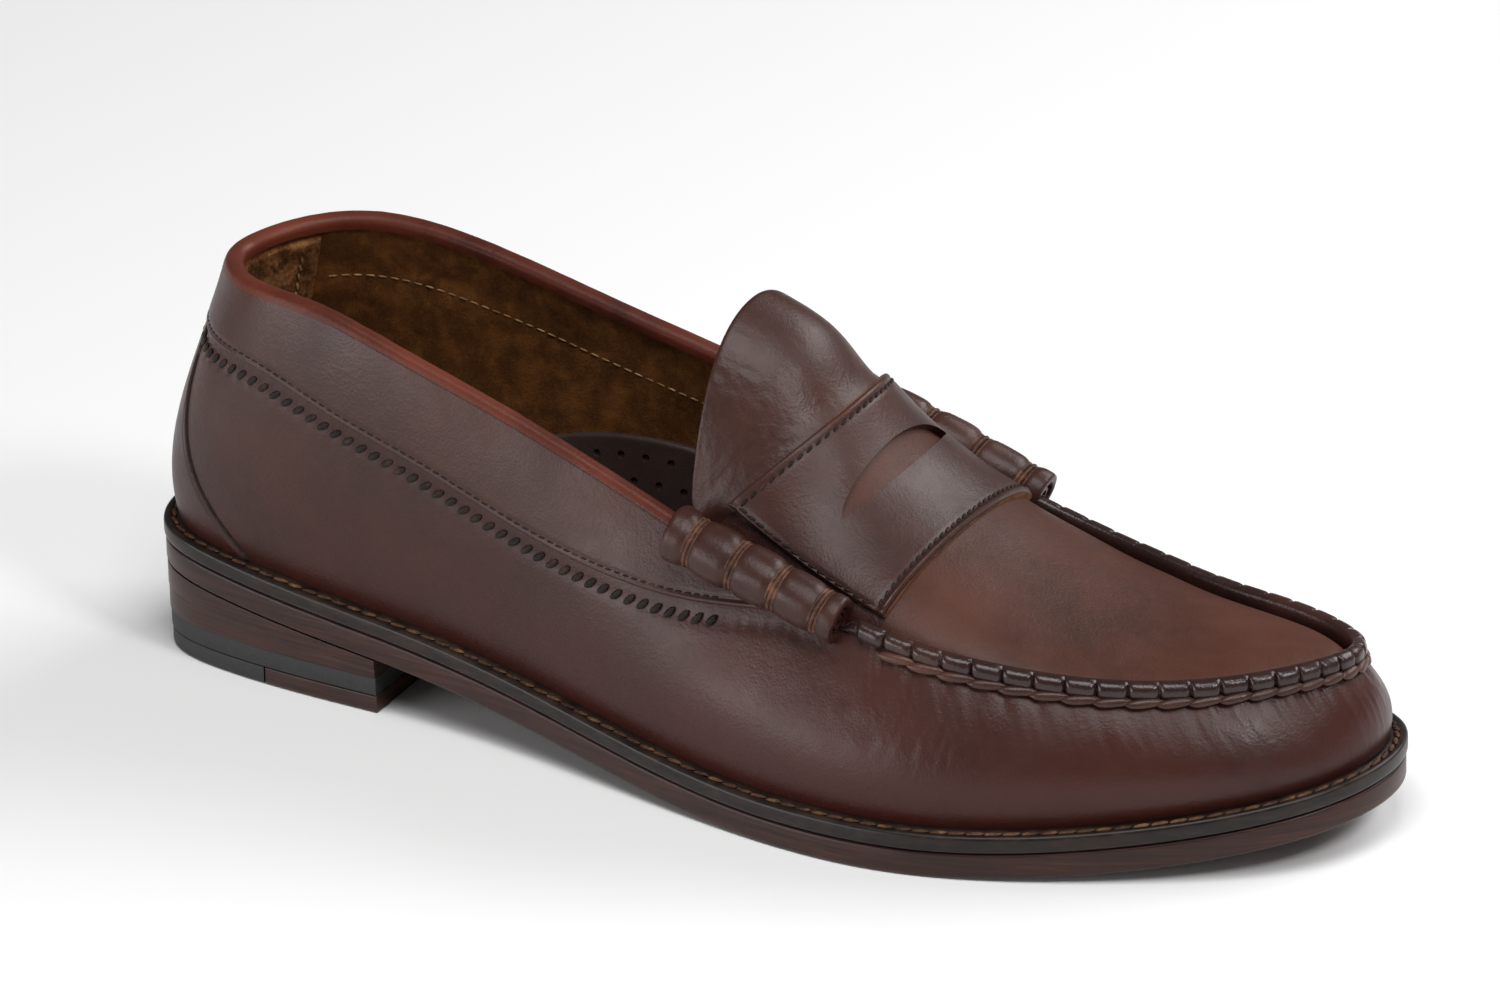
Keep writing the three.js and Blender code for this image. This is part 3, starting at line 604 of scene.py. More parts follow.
# The maker, the name, the dark, middle and light tones, and the maker's own settings.
LOOKS = {name: new_look(name, make, *settings) for make, name, *settings in (
    # The upper's last setting turns on the painted reddish glow low on its wall.
    (leather, "upper_leather", ((0.027, 0.0095, 0.0068), (0.042, 0.014, 0.0098), (0.063, 0.021, 0.014)),
     (0.33, 0.46), 0.32, 0.00003, True),
    (leather, "ridge_leather", ((0.016, 0.0075, 0.0065), (0.026, 0.011, 0.009), (0.05, 0.018, 0.014)),
     (0.2, 0.32), 0.45),
    # Painted sheen: the plug is the upper's leather with a lighter brown base, standing in for the broad
    # sheen on its top.
    (leather, "plug_leather", ((0.046, 0.016, 0.0105), (0.07, 0.024, 0.015), (0.095, 0.035, 0.023)),
     (0.4, 0.52), 0.22),
    (leather, "margin", ((0.02, 0.006, 0.0045), (0.042, 0.011, 0.0075), (0.08, 0.023, 0.015)),
     (0.4, 0.6), 0.32, 0.00006),
    (leather, "seam_stitch", ((0.022, 0.01, 0.008), (0.05, 0.02, 0.014), (0.11, 0.045, 0.028)), (0.25, 0.42)),
    (leather, "binding_leather", ((0.05, 0.011, 0.006), (0.085, 0.018, 0.0095), (0.14, 0.031, 0.016)),
     (0.36, 0.5), 0.2),
    (leather, "lining_leather", ((0.2, 0.11, 0.05), (0.28, 0.16, 0.08), (0.36, 0.22, 0.12)), (0.6, 0.75)),
    (leather, "sock_leather", ((0.026, 0.015, 0.012), (0.04, 0.024, 0.02), (0.06, 0.038, 0.032)),
     (0.42, 0.6)),
    (suede, "suede_lining", ((0.045, 0.015, 0.003), (0.095, 0.033, 0.007), (0.18, 0.068, 0.016)), 0.0006),
    (suede, "heel_grip", ((0.035, 0.012, 0.004), (0.13, 0.05, 0.016), (0.34, 0.15, 0.055)), 0.0008, 0.0006),
    (suede, "raw_edge", ((0.03, 0.012, 0.008), (0.11, 0.04, 0.02), (0.28, 0.11, 0.055)), 0.0005, 0.0002),
    (twisted, "dark_thread", ((0.005, 0.003, 0.0025), (0.013, 0.007, 0.005), (0.045, 0.022, 0.014))),
    (twisted, "tan_thread", ((0.12, 0.06, 0.02), (0.3, 0.17, 0.07), (0.5, 0.33, 0.17)), 0.8),
    (twisted, "welt_stitch", ((0.02, 0.009, 0.005), (0.075, 0.03, 0.013), (0.2, 0.095, 0.042)), 0.55),
    (twisted, "tie_thread", ((0.03, 0.012, 0.007), (0.075, 0.03, 0.017), (0.17, 0.08, 0.048)), 0.45),
    (streaked, "welt_leather", ((0.008, 0.0055, 0.0045), (0.016, 0.01, 0.0075), (0.032, 0.018, 0.012)),
     (0.28, 0.45), (9, 9, 2), 0.0009, 0.00005),
    (streaked, "sole_leather", ((0.019, 0.009, 0.0068), (0.034, 0.013, 0.009), (0.06, 0.02, 0.0135)),
     (0.3, 0.45), (26, 26, 1), 0.001, 0.00004),
    (grainy, "heel_rubber", ((0.006, 0.006, 0.006), (0.012, 0.012, 0.012), (0.026, 0.025, 0.024)),
     0.0011, 0.6, 0.0001),
    (grainy, "cork", ((0.12, 0.06, 0.02), (0.4, 0.23, 0.1), (0.55, 0.36, 0.18)), 0.002, 0.9, 0.0006),
    (grainy, "insole_board", ((0.26, 0.16, 0.09), (0.36, 0.24, 0.14), (0.46, 0.33, 0.21)),
     0.0015, 0.85, 0.0002),
    (grainy, "rib_canvas", ((0.4, 0.35, 0.26), (0.6, 0.53, 0.42), (0.72, 0.66, 0.54)), 0.0008, 0.9, 0.0003),
    (grainy, "shank_steel", ((0.38, 0.38, 0.4), (0.5, 0.5, 0.52), (0.6, 0.6, 0.62)),
     0.0012, 0.35, 0.00005, 1.0),
)}
SLOT_OF = {row["node"]: row["material_slot"] for row in frame["record"]["subparts"]}
for node_name, cad_node in frame["nodes"].items():
    cad_node.data.materials.clear()
    cad_node.data.materials.append(LOOKS[SLOT_OF[node_name]])


# ---- the bottom of the shoe

ROUND = np.arange(360) / 360


def plate(places, layers, breast=False):
    """A closed slab over the sole's plan: layers are (inset, height at x)."""
    rings = []
    for inset, height in layers:
        p = outline(places, inset)
        if breast:
            p[:, 0] = np.minimum(p[:, 0], HEEL_BREAST_X - inset + layers[1][0])
        p[:, 2] = height(p[:, 0])
        rings.append(p)
    return stack(rings, pair_caps=True)


def edge_layers(inset, low, high, radius):
    """Layers of a plate whose upper and lower edges are rounded."""
    turn = np.linspace(0, math.pi / 2, 4)
    lower = [(inset + radius * (1 - math.sin(a)), radius * (1 - math.cos(a))) for a in turn]
    layers = [(i, lambda x, d=d: low(x) + d) for i, d in lower]
    return layers + [(i, lambda x, d=d: high(x) - d) for i, d in lower[::-1]]


def above(lift):
    return lambda x: sole_bottom(x) + lift


def level(z):
    return lambda x: 0 * x + z


def heel_places(end, start=0.0):
    """Places round the heel from the outer side to the inner, ends included."""
    half = even(start, end, 60)
    return np.concatenate([half, 1 - half[::-1][: -1 if start == 0 else None]])


piece("outsole", plate(ROUND, edge_layers(0.35, above(0), above(OUTSOLE), 0.8)), "sole_leather")

# The welt's section: how far in from the plan, and how high over the sole's bottom.
WELT_SECTION = [
    (13.0, 6.3), (0.5, 6.3), (0.12, 6.5), (0.0, 7.0), (0.0, 9.3), (0.12, 9.8), (0.45, 10.15), (1.0, 10.3),
    (1.6, 10.25), (1.9, 9.95), (2.5, 9.8), (3.1, 9.95), (3.4, 10.25), (4.2, 10.3), (13.0, 10.3),
]


def welt_ring(inset, lift):
    p = outline(ROUND, inset)
    p[:, 2] = sole_bottom(p[:, 0]) + lift
    return p




def closed_sweep(grid):
    """A closed ring: the section, along the second axis, is closed too."""
    rows, width = grid.shape[:2]
    index = np.arange(rows * width).reshape(rows, width)
    index = np.vstack([index, index[:1]])
    index = np.hstack([index, index[:, :1]])
    faces = np.stack([index[:-1, :-1], index[1:, :-1], index[1:, 1:], index[:-1, 1:]], -1).reshape(-1, 4)
    return grid.reshape(-1, 3), faces.tolist()


piece("welt", closed_sweep(np.stack([welt_ring(*place) for place in WELT_SECTION], 1)), "welt_leather")


def spaced(points, pitch, first=0.5):
    """Indices of a dense path at an even pitch along it, and the path's length."""
    length = np.concatenate([[0], np.cumsum(np.linalg.norm(np.diff(points, axis=0), axis=1))])
    marks = np.arange(pitch * first, length[-1] - pitch * 0.3, pitch)
    return np.searchsorted(length, marks), length


def row_of_stitches(points, normals, pitch, length, width, height, lean=0.0, first=0.5):
    """Stitches in a row along a dense path; lean turns each one about the surface's normal."""
    where, _ = spaced(points, pitch, first)
    tangent = unit(np.gradient(points, axis=0))[where]
    normal = unit(normals[where])
    side = np.cross(normal, tangent)
    along = tangent * math.cos(lean) + side * math.sin(lean)
    return stitches(points[where], along, normal, length, width, height)


dense = np.linspace(0, 1, 7201)[:-1]
stitch_line = outline(dense, 2.5)
stitch_line[:, 2] = sole_bottom(stitch_line[:, 0]) + 10.1
upwards = np.tile(UPWARDS, (len(dense), 1))
piece("welt_thread", row_of_stitches(stitch_line, upwards, 4.1, 3.9, 1.25, 0.85, 0.16), "dark_thread",
      look="welt_stitch")

stack_floor = TOP_PIECE + HEEL_BAND + 2 * GAP


def wedge(share, lift):
    return lambda x: stack_floor + share * (sole_bottom(x) - GAP - stack_floor) + lift


heel_ring = heel_places(BREAST_S)
for name, inset, low, high, slot in (
    ("heel_lift_upper", 0.5, wedge(0.5, 0.02), wedge(1, 0.15), "sole_leather"),
    ("heel_lift_lower", 0.65, wedge(0, 0), wedge(0.5, -0.02), "sole_leather"),
    ("heel_band", 0.9, level(TOP_PIECE + 0.2), level(stack_floor - 0.1), "heel_rubber"),
):
    piece(name, plate(heel_ring, edge_layers(inset, low, high, 0.15), True), slot)
rear_ring = heel_places(SPLIT_S)
piece("top_piece_rubber", plate(rear_ring, edge_layers(1.1, level(0), level(TOP_PIECE), 0.5)), "heel_rubber")
front_ring = heel_places(BREAST_S, SPLIT_S + 0.0008)
piece("top_piece_leather", plate(front_ring, edge_layers(1.1, level(0), level(TOP_PIECE), 0.5), True),
      "sole_leather")

# ---- the upper


def under_roll(s):
    return ease(0.236, 0.25, from_heel(s)) * (1 - ease(0.290, SEAM_S, from_heel(s)))


def vamp_top(s):
    return np.minimum(band_bottom(s) + 0.02, 0.984 - 0.024 * under_roll(s))


SEAM_GRID = np.linspace(0.30, 0.70, 4001)
PLEAT = 7.0
TOE_PLEAT = 4.8
HAND_PITCH = 3.6                 # of the thick stitches under the collar band
HAND_DROP = 3.4
ROUND_MM = 700                   # about one whole turn of s, along the rim


def seam_phase(s):
    """Pleats counted along the raised seam, closer round the toe."""
    step = np.linalg.norm(np.diff(on_loop(RIM, SEAM_GRID), axis=0), axis=1)
    pitch = PLEAT - (PLEAT - TOE_PLEAT) * bump(SEAM_GRID[1:], 0.5, 0.05)
    return np.interp(s, SEAM_GRID, np.concatenate([[0], np.cumsum(step / pitch)]))


def raised(s):
    return ease(SEAM_S - 0.004, SEAM_S + 0.004, from_heel(s))


RIDGE_OUT = [(0.35, 0.5), (0.95, 1.1), (1.25, 2.0), (1.2, 3.1), (0.8, 4.0), (0.0, 4.55), (-0.9, 4.7)]
RIDGE_IN = [(-2.5, -0.6), (-2.6, 0.6), (-2.6, 1.8), (-2.55, 2.9), (-2.4, 3.7), (-2.0, 4.3), (-1.6, 4.6)]


def vamp():
    """Sides and toe in one piece, with the pleated ridge of the toe seam standing on its edge."""
    rear = np.linspace(0.02, 0.30, 190)
    front = np.linspace(0.30, 0.70, 1100)
    s = np.concatenate([rear, front[1:-1], 1 - rear[::-1]])[:, None]
    rows = np.linspace(0, 1, 40) ** 0.92
    top = vamp_top(s)
    v = top * rows
    below = (top - v) * wall_height(s)
    phase = seam_phase(s)
    part = phase % 1
    up = raised(s)
    pinch = np.cos(math.pi * (part - 0.5)) ** 2
    pucker = 0.5 * (pinch - 0.75) * np.exp(-below / 3.2)
    fine = 0.2 * noise(phase * 4.4, below / 9, 3) * np.exp(-below / 7)
    relief_mm = (pucker + fine) * up
    flex = bump(from_heel(s), 0.30, 0.035) * bump(v, 0.62, 0.22)
    slanted = s * 700 + below * 0.55
    relief_mm += 0.15 * flex * noise(slanted / 1.1, below / 6, 5)
    relief_mm += 0.12 * noise(s * 22, v * 3, 11)
    hand = hand_row(s)
    seam_line = (top - 0.02 - v) * wall_height(s)
    relief_mm -= 0.5 * hand * bump(seam_line, 3.4, 1.6) * (1 - up)
    outer = wall(s, v, -relief_mm)
    inner = wall(s, v, LEATHER)
    out = outward(RIM, s[:, 0])
    edge = wall(s[:, 0], top[:, 0], 0 * s[:, 0])
    block = 1 - np.abs(2 * part[:, 0] - 1) ** 7
    lift = 0.04 + 0.96 * up[:, 0]
    wobble = 0.18 * noise(np.floor(phase[:, 0]), 0.0, 8)
    ridge_out, ridge_in = [], []
    for (a, b), (c, d) in zip(RIDGE_OUT, RIDGE_IN):
        face = a - 1.15 * (1 - block) * (b < 4.3) * (b > 0.3) + wobble * block
        height = b - 0.35 * (1 - block) * (b > 3)
        ridge_out.append(edge + out * (face * lift)[:, None] + np.outer(height * lift, (0, 0, 1)))
        ridge_in.append(edge + out * (c * lift - 0.1)[:, None] + np.outer(d * lift, (0, 0, 1)))
    outer = np.concatenate([outer, np.stack(ridge_out, 1)], 1)
    inner = np.concatenate([inner, np.stack(ridge_in, 1)], 1)
    return skin(outer, inner)


collar_dense = np.linspace(-COLLAR_END_S, COLLAR_END_S, 5201)
collar_low = wall(collar_dense, band_bottom(collar_dense), 0.0)
_, collar_length = spaced(collar_low, 3.6)


def hand_row(s):
    """1 at each whip stitch under the collar band, 0 between them."""
    along = np.interp((np.asarray(s, float) + 0.5) % 1 - 0.5, collar_dense, collar_length)
    return 0.5 - 0.5 * np.cos(2 * math.pi * along / HAND_PITCH)


def on_ridge(obj):
    """Faces of the pleated ridge: above the rim's own height, in front of the strap."""
    centre = np.array([face.center for face in obj.data.polygons]) / MM
    mask = (centre[:, 0] > 38) & (centre[:, 2] > 38)
    rim = on_loop(RIM, np.linspace(0.30, 0.70, 800))
    near = [np.argmin((rim[:, 0] - x) ** 2 + (rim[:, 1] - y) ** 2) for x, y, _ in centre[mask]]
    mask[mask] = centre[mask][:, 2] > rim[near][:, 2] + 0.1
    return mask


vamp_piece = piece("vamp", vamp(), "upper_leather")
second_look(vamp_piece, on_ridge(vamp_piece), "ridge_leather")


def wall_band(places, low, high, raise_mm, depth, radius, count, ripple=None):
    """A strip of leather on the wall with rounded edges; it stands this far out."""
    s = places[:, None]
    length = np.mean((high(places) - low(places)) * wall_height(places))
    f = edged(length, radius, count)[None, :]
    v = low(s) + (high(s) - low(s)) * f
    distance = np.minimum(f, 1 - f) * (high(s) - low(s)) * wall_height(s)
    outer = -raise_mm + rounded(distance, radius)
    if ripple is not None:
        outer = outer + ripple(s, v, distance)
    return skin(wall(s, v, outer), wall(s, v, depth + 0 * v))


def collar_ripple(s, v, distance):
    soft = 0.10 * noise(s * 30, v * 4, 21)
    channel = 0.28 * bump((v - band_bottom(s)) * wall_height(s), 1.5, 0.45)
    return soft + channel


piece("collar_band", wall_band(
    even(-COLLAR_END_S, COLLAR_END_S, 420), band_bottom, lambda s: 0.99 + 0 * s, 0.85, LEATHER, 0.7, 26,
    collar_ripple), "upper_leather")


def wall_row(s, v, depth, pitch, length, width, height, lean=0.0, face=1):
    """A row of stitches along the wall, this deep; face is -1 on its inner side."""
    return row_of_stitches(wall(s, v, depth), face * wall_normal(s, v), pitch, length, width, height, lean)


def collar_sewing():
    """Fine stitches near the band's edge, and the row of thick slanted hand stitches below it."""
    s = np.linspace(-0.262, 0.262, 5001)
    rows = [wall_row(s, band_bottom(s) + 1.5 / wall_height(s), -0.62, 2.3, 1.7, 0.55, 0.45, 0.1)]
    s = collar_dense[(np.abs(collar_dense) < 0.262) & (np.abs(collar_dense) > 0.006)]
    for half, lean in ((s[s < 0], -0.85), (s[s > 0], 0.85)):
        v = band_bottom(half) - HAND_DROP / wall_height(half)
        rows.append(wall_row(half, v, -0.15, HAND_PITCH, 3.5, 1.6, 1.1, lean))
    return join(rows)


piece("collar_thread", collar_sewing(), "dark_thread")


def stay_half(v):
    return on_path(STAY_WIDTH, np.asarray(v, float) / 0.8)[..., 0]


def back_stay():
    """A leaf over the heel seam: narrow under the collar, flaring to the welt."""
    u = np.linspace(-1, 1, 61)[:, None]
    u = np.sign(u) * np.abs(u) ** 0.8
    v = np.linspace(0, 1, 60)[None, :] * (band_bottom(0.0) + 0.015)
    half = stay_half(v)
    depth = -0.55 + rounded((1 - np.abs(u)) * half * ROUND_MM, 0.7) * 0.85
    return skin(wall(u * half, v, depth), wall(u * half, v, 0.5 + 0 * depth))


def stay_bead():
    """The dark cord that fills the groove along each edge of the back stay."""
    v = np.linspace(0.0, band_bottom(0.0) - 0.005, 80)
    edges = [side * (stay_half(v) + 0.0012) for side in (-1, 1)]
    return join([cord(wall(s, v, -0.1), wall_normal(s, v), 0.9) for s in edges])


piece("back_stay", back_stay(), "upper_leather")
piece("stay_bead", stay_bead(), "dark_thread", stands_for=("back_stay",))


def lining_depth(s, v):
    stiff = 1 - ease(0.13, 0.17, from_heel(s)) + ease(0.38, 0.42, from_heel(s))
    return LEATHER + GAP + (STIFFENER + GAP) * stiff * (1 - ease(0.72, 0.86, v))


def binding():
    """The topline's rolled edge, over the tops of collar band and lining."""
    s = even(-BINDING_END_S, BINDING_END_S, 420)
    tangent = unit(wall_skin(s + 0.002, 0.99) - wall_skin(s - 0.002, 0.99))
    up = unit(np.cross(wall_normal(s, 0.99 + 0 * s), tangent))
    reach = lining_depth(s, 1.0) + LINING
    angle = np.linspace(0.06, math.pi - 0.06, 13)
    rings = []
    for a in angle:
        depth = reach / 2 - (reach / 2 + 0.75) * math.cos(a)
        lift = 0.1 + 2.1 * math.sin(a) ** 0.8 + 0.05 * noise(s * 180, a, 31)
        rings.append(wall(s, 0.99, depth) + up * lift[:, None])
    outer = np.stack(rings, 1)
    floor = [wall(s, 0.99, reach / 2 - (reach / 2 + 0.8) * math.cos(a)) - up * 0.9 for a in angle]
    return skin(outer, np.stack(floor, 1))


piece("topline_binding", binding(), "binding_leather", sharp=80)

# ---- inside


def lining(places, low, high, extra, thick, count, roughness=0.0, seed=0):
    s = places[:, None]
    f = np.linspace(0, 1, count)[None, :]
    v = low(s) + (high(s) - low(s)) * f
    depth = lining_depth(s, v) + extra
    nap = roughness * (noise(s * 260, v * 26, seed) + 0.5 * noise(s * 620, v * 60, seed + 1))
    return skin(wall(s, v, depth + 0.02), wall(s, v, depth + thick + nap))


def flat(value):
    return lambda s: value + 0 * s


piece("quarter_lining", lining(
    even(-0.29, 0.29, 420), flat(0.0), lambda s: 1.0 - 0.1 * under_roll(s), 0.0, LINING, 60, 0.10, 41),
    "suede_lining", sharp=80)
piece("vamp_lining", lining(
    even(0.293, 0.707, 300), flat(0.0), flat(0.93), 0.0, LINING, 30), "lining_leather")


def heel_grip():
    """A rough patch of suede, wrinkled and sewn down at both sides."""
    s = even(-0.05, 0.05, 150)[:, None]
    v = np.linspace(0.47, 0.955, 110)[None, :]
    distance = np.minimum((0.05 - np.abs(s)) * ROUND_MM, np.minimum(v - 0.47, 0.955 - v) * 80)
    wrinkle = 0.42 * noise(s * 420 + noise(v * 9, 0.0, 52), v * 16, 51) + 0.22 * noise(s * 900, v * 60, 53)
    depth = lining_depth(s, v) + LINING
    return skin(wall(s, v, depth - 0.1), wall(s, v, depth + 1.15 + wrinkle - rounded(distance, 0.9)))


piece("heel_grip", heel_grip(), "suede_lining", look="heel_grip", sharp=80)

for side, sign in (("lateral", 1), ("medial", -1)):
    s = sign * np.linspace(0.056, 0.236, 2001)
    v = 1 - 14.5 / wall_height(s)
    rows = [wall_row(s, v, lining_depth(s, v) + LINING + 0.08, 2.9, 2.1, 0.5, 0.4, face=-1)]
    v = np.linspace(0.5, 0.93, 600)
    s = np.full(600, sign * 0.040)
    rows.append(wall_row(s, v, lining_depth(s, v) + LINING + 1.35, 2.4, 1.9, 0.6, 0.5, 0.25, -1))
    piece(f"lining_thread_{side}", join(rows), "tan_thread")


def sock():
    """The sock liner: a thin leather sheet that curls up a little at its edges."""
    s = 0.25 * (1 - np.cos(2 * math.pi * even(0, 0.5, 90)))[:, None]
    w = np.linspace(0, 1, 61)[None, :]
    a = outline(s[:, 0], INSOLE_EDGE)
    b = outline(1 - s[:, 0], INSOLE_EDGE)
    lower = a[:, None] * (1 - w[..., None]) + b[:, None] * w[..., None]
    distance = np.minimum(w, 1 - w) * np.linalg.norm(b - a, axis=1)[:, None]
    curl = 1.9 * np.exp(-distance / 3.5) * ease(0.0, 0.05, s) * (1 - ease(0.45, 0.5, s))
    lower[..., 2] = sole_bottom(lower[..., 0]) + SOCK_FLOOR + curl
    upper = lower.copy()
    upper[..., 2] += 1.0 + 0.05 * noise(lower[..., 0] / 6, lower[..., 1] / 6, 61)
    return skin(upper, lower)


sock_piece = piece("sock_liner", sock(), "sock_leather")


def pierce(obj, shape):
    """Cuts a mesh with closed shapes in millimetres."""
    tool = solid("cutter", shape)
    cut = obj.modifiers.new("cut", "BOOLEAN")
    cut.operation = "DIFFERENCE"
    cut.solver = "EXACT"
    cut.object = tool
    bpy.context.view_layer.update()
    done = bpy.data.meshes.new_from_object(obj.evaluated_get(bpy.context.evaluated_depsgraph_get()))
    obj.modifiers.remove(cut)
    spare = (obj.data, tool.data)
    obj.data = done
    bpy.data.objects.remove(tool)
    for mesh in spare:
        bpy.data.meshes.remove(mesh)


def perforations():
    """Holes all over the footbed, in staggered rows."""
    parts = []
    ring = circle(FORWARDS, INWARDS, 12)
    for row in range(-4, 5):
        for column in range(30):
            x = -105 + column * 6.2 + (row % 2) * 3.1
            place = np.array([x, 3.5 + row * 5.2, float(sole_bottom(x)) + SOCK_FLOOR])
            parts.append(stack([place + h * UPWARDS + ring for h in (-2.0, 0.5, 4.0)]))
    return join(parts)


pierce(sock_piece, perforations())

ARCH_TOP = [(0.1,), (0.26,), (0.44,), (0.56,), (0.6,), (0.5,), (0.12,)]   # height, from heel to waist
ARCH_HEEL_S = 0.875
ARCH_RUN = 0.15


def arch_top(s):
    return on_path(ARCH_TOP, (ARCH_HEEL_S - s) / ARCH_RUN)[..., 0]


def arch_support():
    """The sock climbs the inner wall of the waist: a smooth moulded sheet with a rounded edge."""
    s = np.linspace(ARCH_HEEL_S - ARCH_RUN, ARCH_HEEL_S, 110)[:, None]
    f = edged(25, 1.0, 30)[None, :]
    top = arch_top(s)
    v = 0.03 + (top - 0.03) * f
    drop = rounded((top - v) * wall_height(s), 1.1)
    foot = 2.2 * np.exp(-(v - 0.03) * wall_height(s) / 3.5)
    depth = lining_depth(s, v) + LINING
    return skin(wall(s, v, depth + 0.03), wall(s, v, depth + 1.35 + foot - drop))


def arch_holes():
    """Pierced rows on the raised side, set out like those of the footbed."""
    parts = []
    s = np.linspace(ARCH_HEEL_S - ARCH_RUN + 0.01, ARCH_HEEL_S - 0.02, 2001)
    for row, below in enumerate((5.0, 11.0, 17.0)):
        v = arch_top(s) - below / wall_height(s)
        line = wall(s, v, lining_depth(s, v) + LINING)
        where, _ = spaced(line, 6.3, 0.5 + 0.5 * (row % 2))
        where = where[v[where] > 0.12]
        along = unit(np.gradient(line, axis=0))[where]
        for c, n, a in zip(line[where], -wall_normal(s[where], v[where]), along):
            ring = circle(a, np.cross(n, a), 12) * 0.95
            parts.append(stack([c + n * h + ring for h in (0.45, 2.0, 6.0)]))
    return join(parts)


arch_piece = piece("sock_arch", arch_support(), "sock_leather", stands_for=("sock_liner",))
pierce(arch_piece, arch_holes())

# ---- the top of the foot


def top_sheet(places, low, high, raise_mm, depth, radius, count, ripple=None):
    """A sheet over the instep between two places across it, with rounded edges all round."""
    s = places[:, None]
    span = np.linalg.norm(instep_skin(places, 0.5) - instep_skin(places[-1:], 0.5), axis=-1)
    along = np.minimum(span, span.max() - span)[:, None]
    arc = 1.12 * np.linalg.norm(instep_skin(places, low) - instep_skin(places, high), axis=-1)[:, None]
    f = edged(arc.mean(), radius, count)[None, :]
    w = low + (high - low) * f
    distance = np.minimum(np.minimum(f, 1 - f) * arc, along)
    outer = -raise_mm + rounded(distance, radius)
    if ripple is not None:
        outer = outer - ripple(s, w, distance)
    return skin(instep(s, w, outer), instep(s, w, depth + 0 * w))


def plug_relief(s, w, distance):
    return 0.16 * noise(s * 55, w * 5, 71) + 0.25 * ease(0, 6, distance)


def face_numbers(obj):
    return np.arange(len(obj.data.polygons))


PLUG_TIP_S = 0.4985
PLUG_ACROSS = 97                 # faces across the plug
MARGIN_ACROSS = 16               # of them in each margin beside the strap
plug_places = PLUG_TIP_S - (PLUG_TIP_S - STRAP_REAR_S - 0.002) * (1 - np.linspace(0, 1, 170)) ** 1.35
plug_sheet = top_sheet(plug_places, 0.0, 1.0, 0.25, LEATHER, 0.8, 90, plug_relief)
# The plug wears a lighter copy of the upper's leather: painted sheen.
plug_piece = piece("plug", plug_sheet, "upper_leather", look="plug_leather")
column = np.arange(PLUG_ACROSS)
in_margin = np.minimum(column, column[::-1]) < MARGIN_ACROSS
second_look(plug_piece, np.outer(plug_places[:-1] < STRAP_FRONT_S - 0.001, in_margin).ravel(), "margin")
piece("plug_lining", top_sheet(
    even(STRAP_REAR_S + 0.003, 0.478, 90), 0.06, 0.94, -LEATHER - GAP, LEATHER + GAP + LINING, 0.4, 40),
    "lining_leather")


REAR_ROW = 1.8                   # from each edge of the strap to its row of stitches
FRONT_ROW = 2.6
SIDE_ROW = 1.1
FRONT_MM = 860                   # one whole turn of s, where the strap's front edge lies
ACROSS_MM = 90                   # the strap's length over the instep
SLOT_HALF_WIDTH = 23.5
SLOT_DEPTH = 6.7
SLOT_FRONT_S = 0.2748


def strap_relief(s, w, distance):
    """Sewing channels along the strap's front, rear and sides, and the leather's soft swell."""
    front = (STRAP_FRONT_S - s) * FRONT_MM
    side = np.minimum(w - STRAP_SIDE, 1 - STRAP_SIDE - w) * ACROSS_MM
    groove = bump((s - STRAP_REAR_S) * ROUND_MM, REAR_ROW, 0.5) + bump(front, FRONT_ROW, 0.5)
    groove = np.maximum(groove, bump(side, SIDE_ROW, 0.45))
    return -0.3 * groove + 0.35 * bump(front, 1.0, 0.6) + 0.12 * noise(s * 90, w * 6, 73)


def slot_cutter():
    """A half moon: a straight front edge and an arched rear edge, drawn out through the strap."""
    middle = instep(np.array([SLOT_FRONT_S]), np.array([0.5]), 0.0)[0]
    up = top_normal(instep_skin, np.array([SLOT_FRONT_S]), np.array([0.5]), 0.002)[0]
    back = unit(np.cross(up, INWARDS))
    angle = np.linspace(0, math.pi, 33)
    front = np.linspace(-SLOT_HALF_WIDTH, SLOT_HALF_WIDTH, 17)[1:-1]
    u = np.concatenate([SLOT_HALF_WIDTH * np.cos(angle), front])
    bow = -0.5 * np.cos(front / SLOT_HALF_WIDTH * math.pi / 2)
    b = np.concatenate([SLOT_DEPTH * np.sin(angle) ** 1.25, bow])
    shape = middle + u[:, None] * INWARDS + b[:, None] * back
    return stack([shape + up * h for h in (-14.0, 0.0, 14.0)])


def strap_row(s, w, depth, *sizes):
    return row_of_stitches(instep(s, w, depth), top_normal(instep_skin, s, w, 0.002), *sizes)


def strap_sewing():
    """Rows along the strap's rear and front edges and its two ends."""
    rear, front = STRAP_REAR_S + REAR_ROW / ROUND_MM, STRAP_FRONT_S - FRONT_ROW / FRONT_MM
    w = np.linspace(STRAP_SIDE + 0.015, 1 - STRAP_SIDE - 0.015, 3001)
    rows = [strap_row(s + 0 * w, w, -2.2, pitch, pitch * 0.8, 0.75, 0.6, 0.25)
            for s, pitch in ((rear, 2.7), (front, 2.5))]
    s = np.linspace(rear, front, 1201)
    for end in (STRAP_SIDE + SIDE_ROW / ACROSS_MM, 1 - STRAP_SIDE - SIDE_ROW / ACROSS_MM):
        rows.append(strap_row(s, end + 0 * s, -2.15, 2.6, 2.1, 0.7, 0.6, 0.2))
    return join(rows)


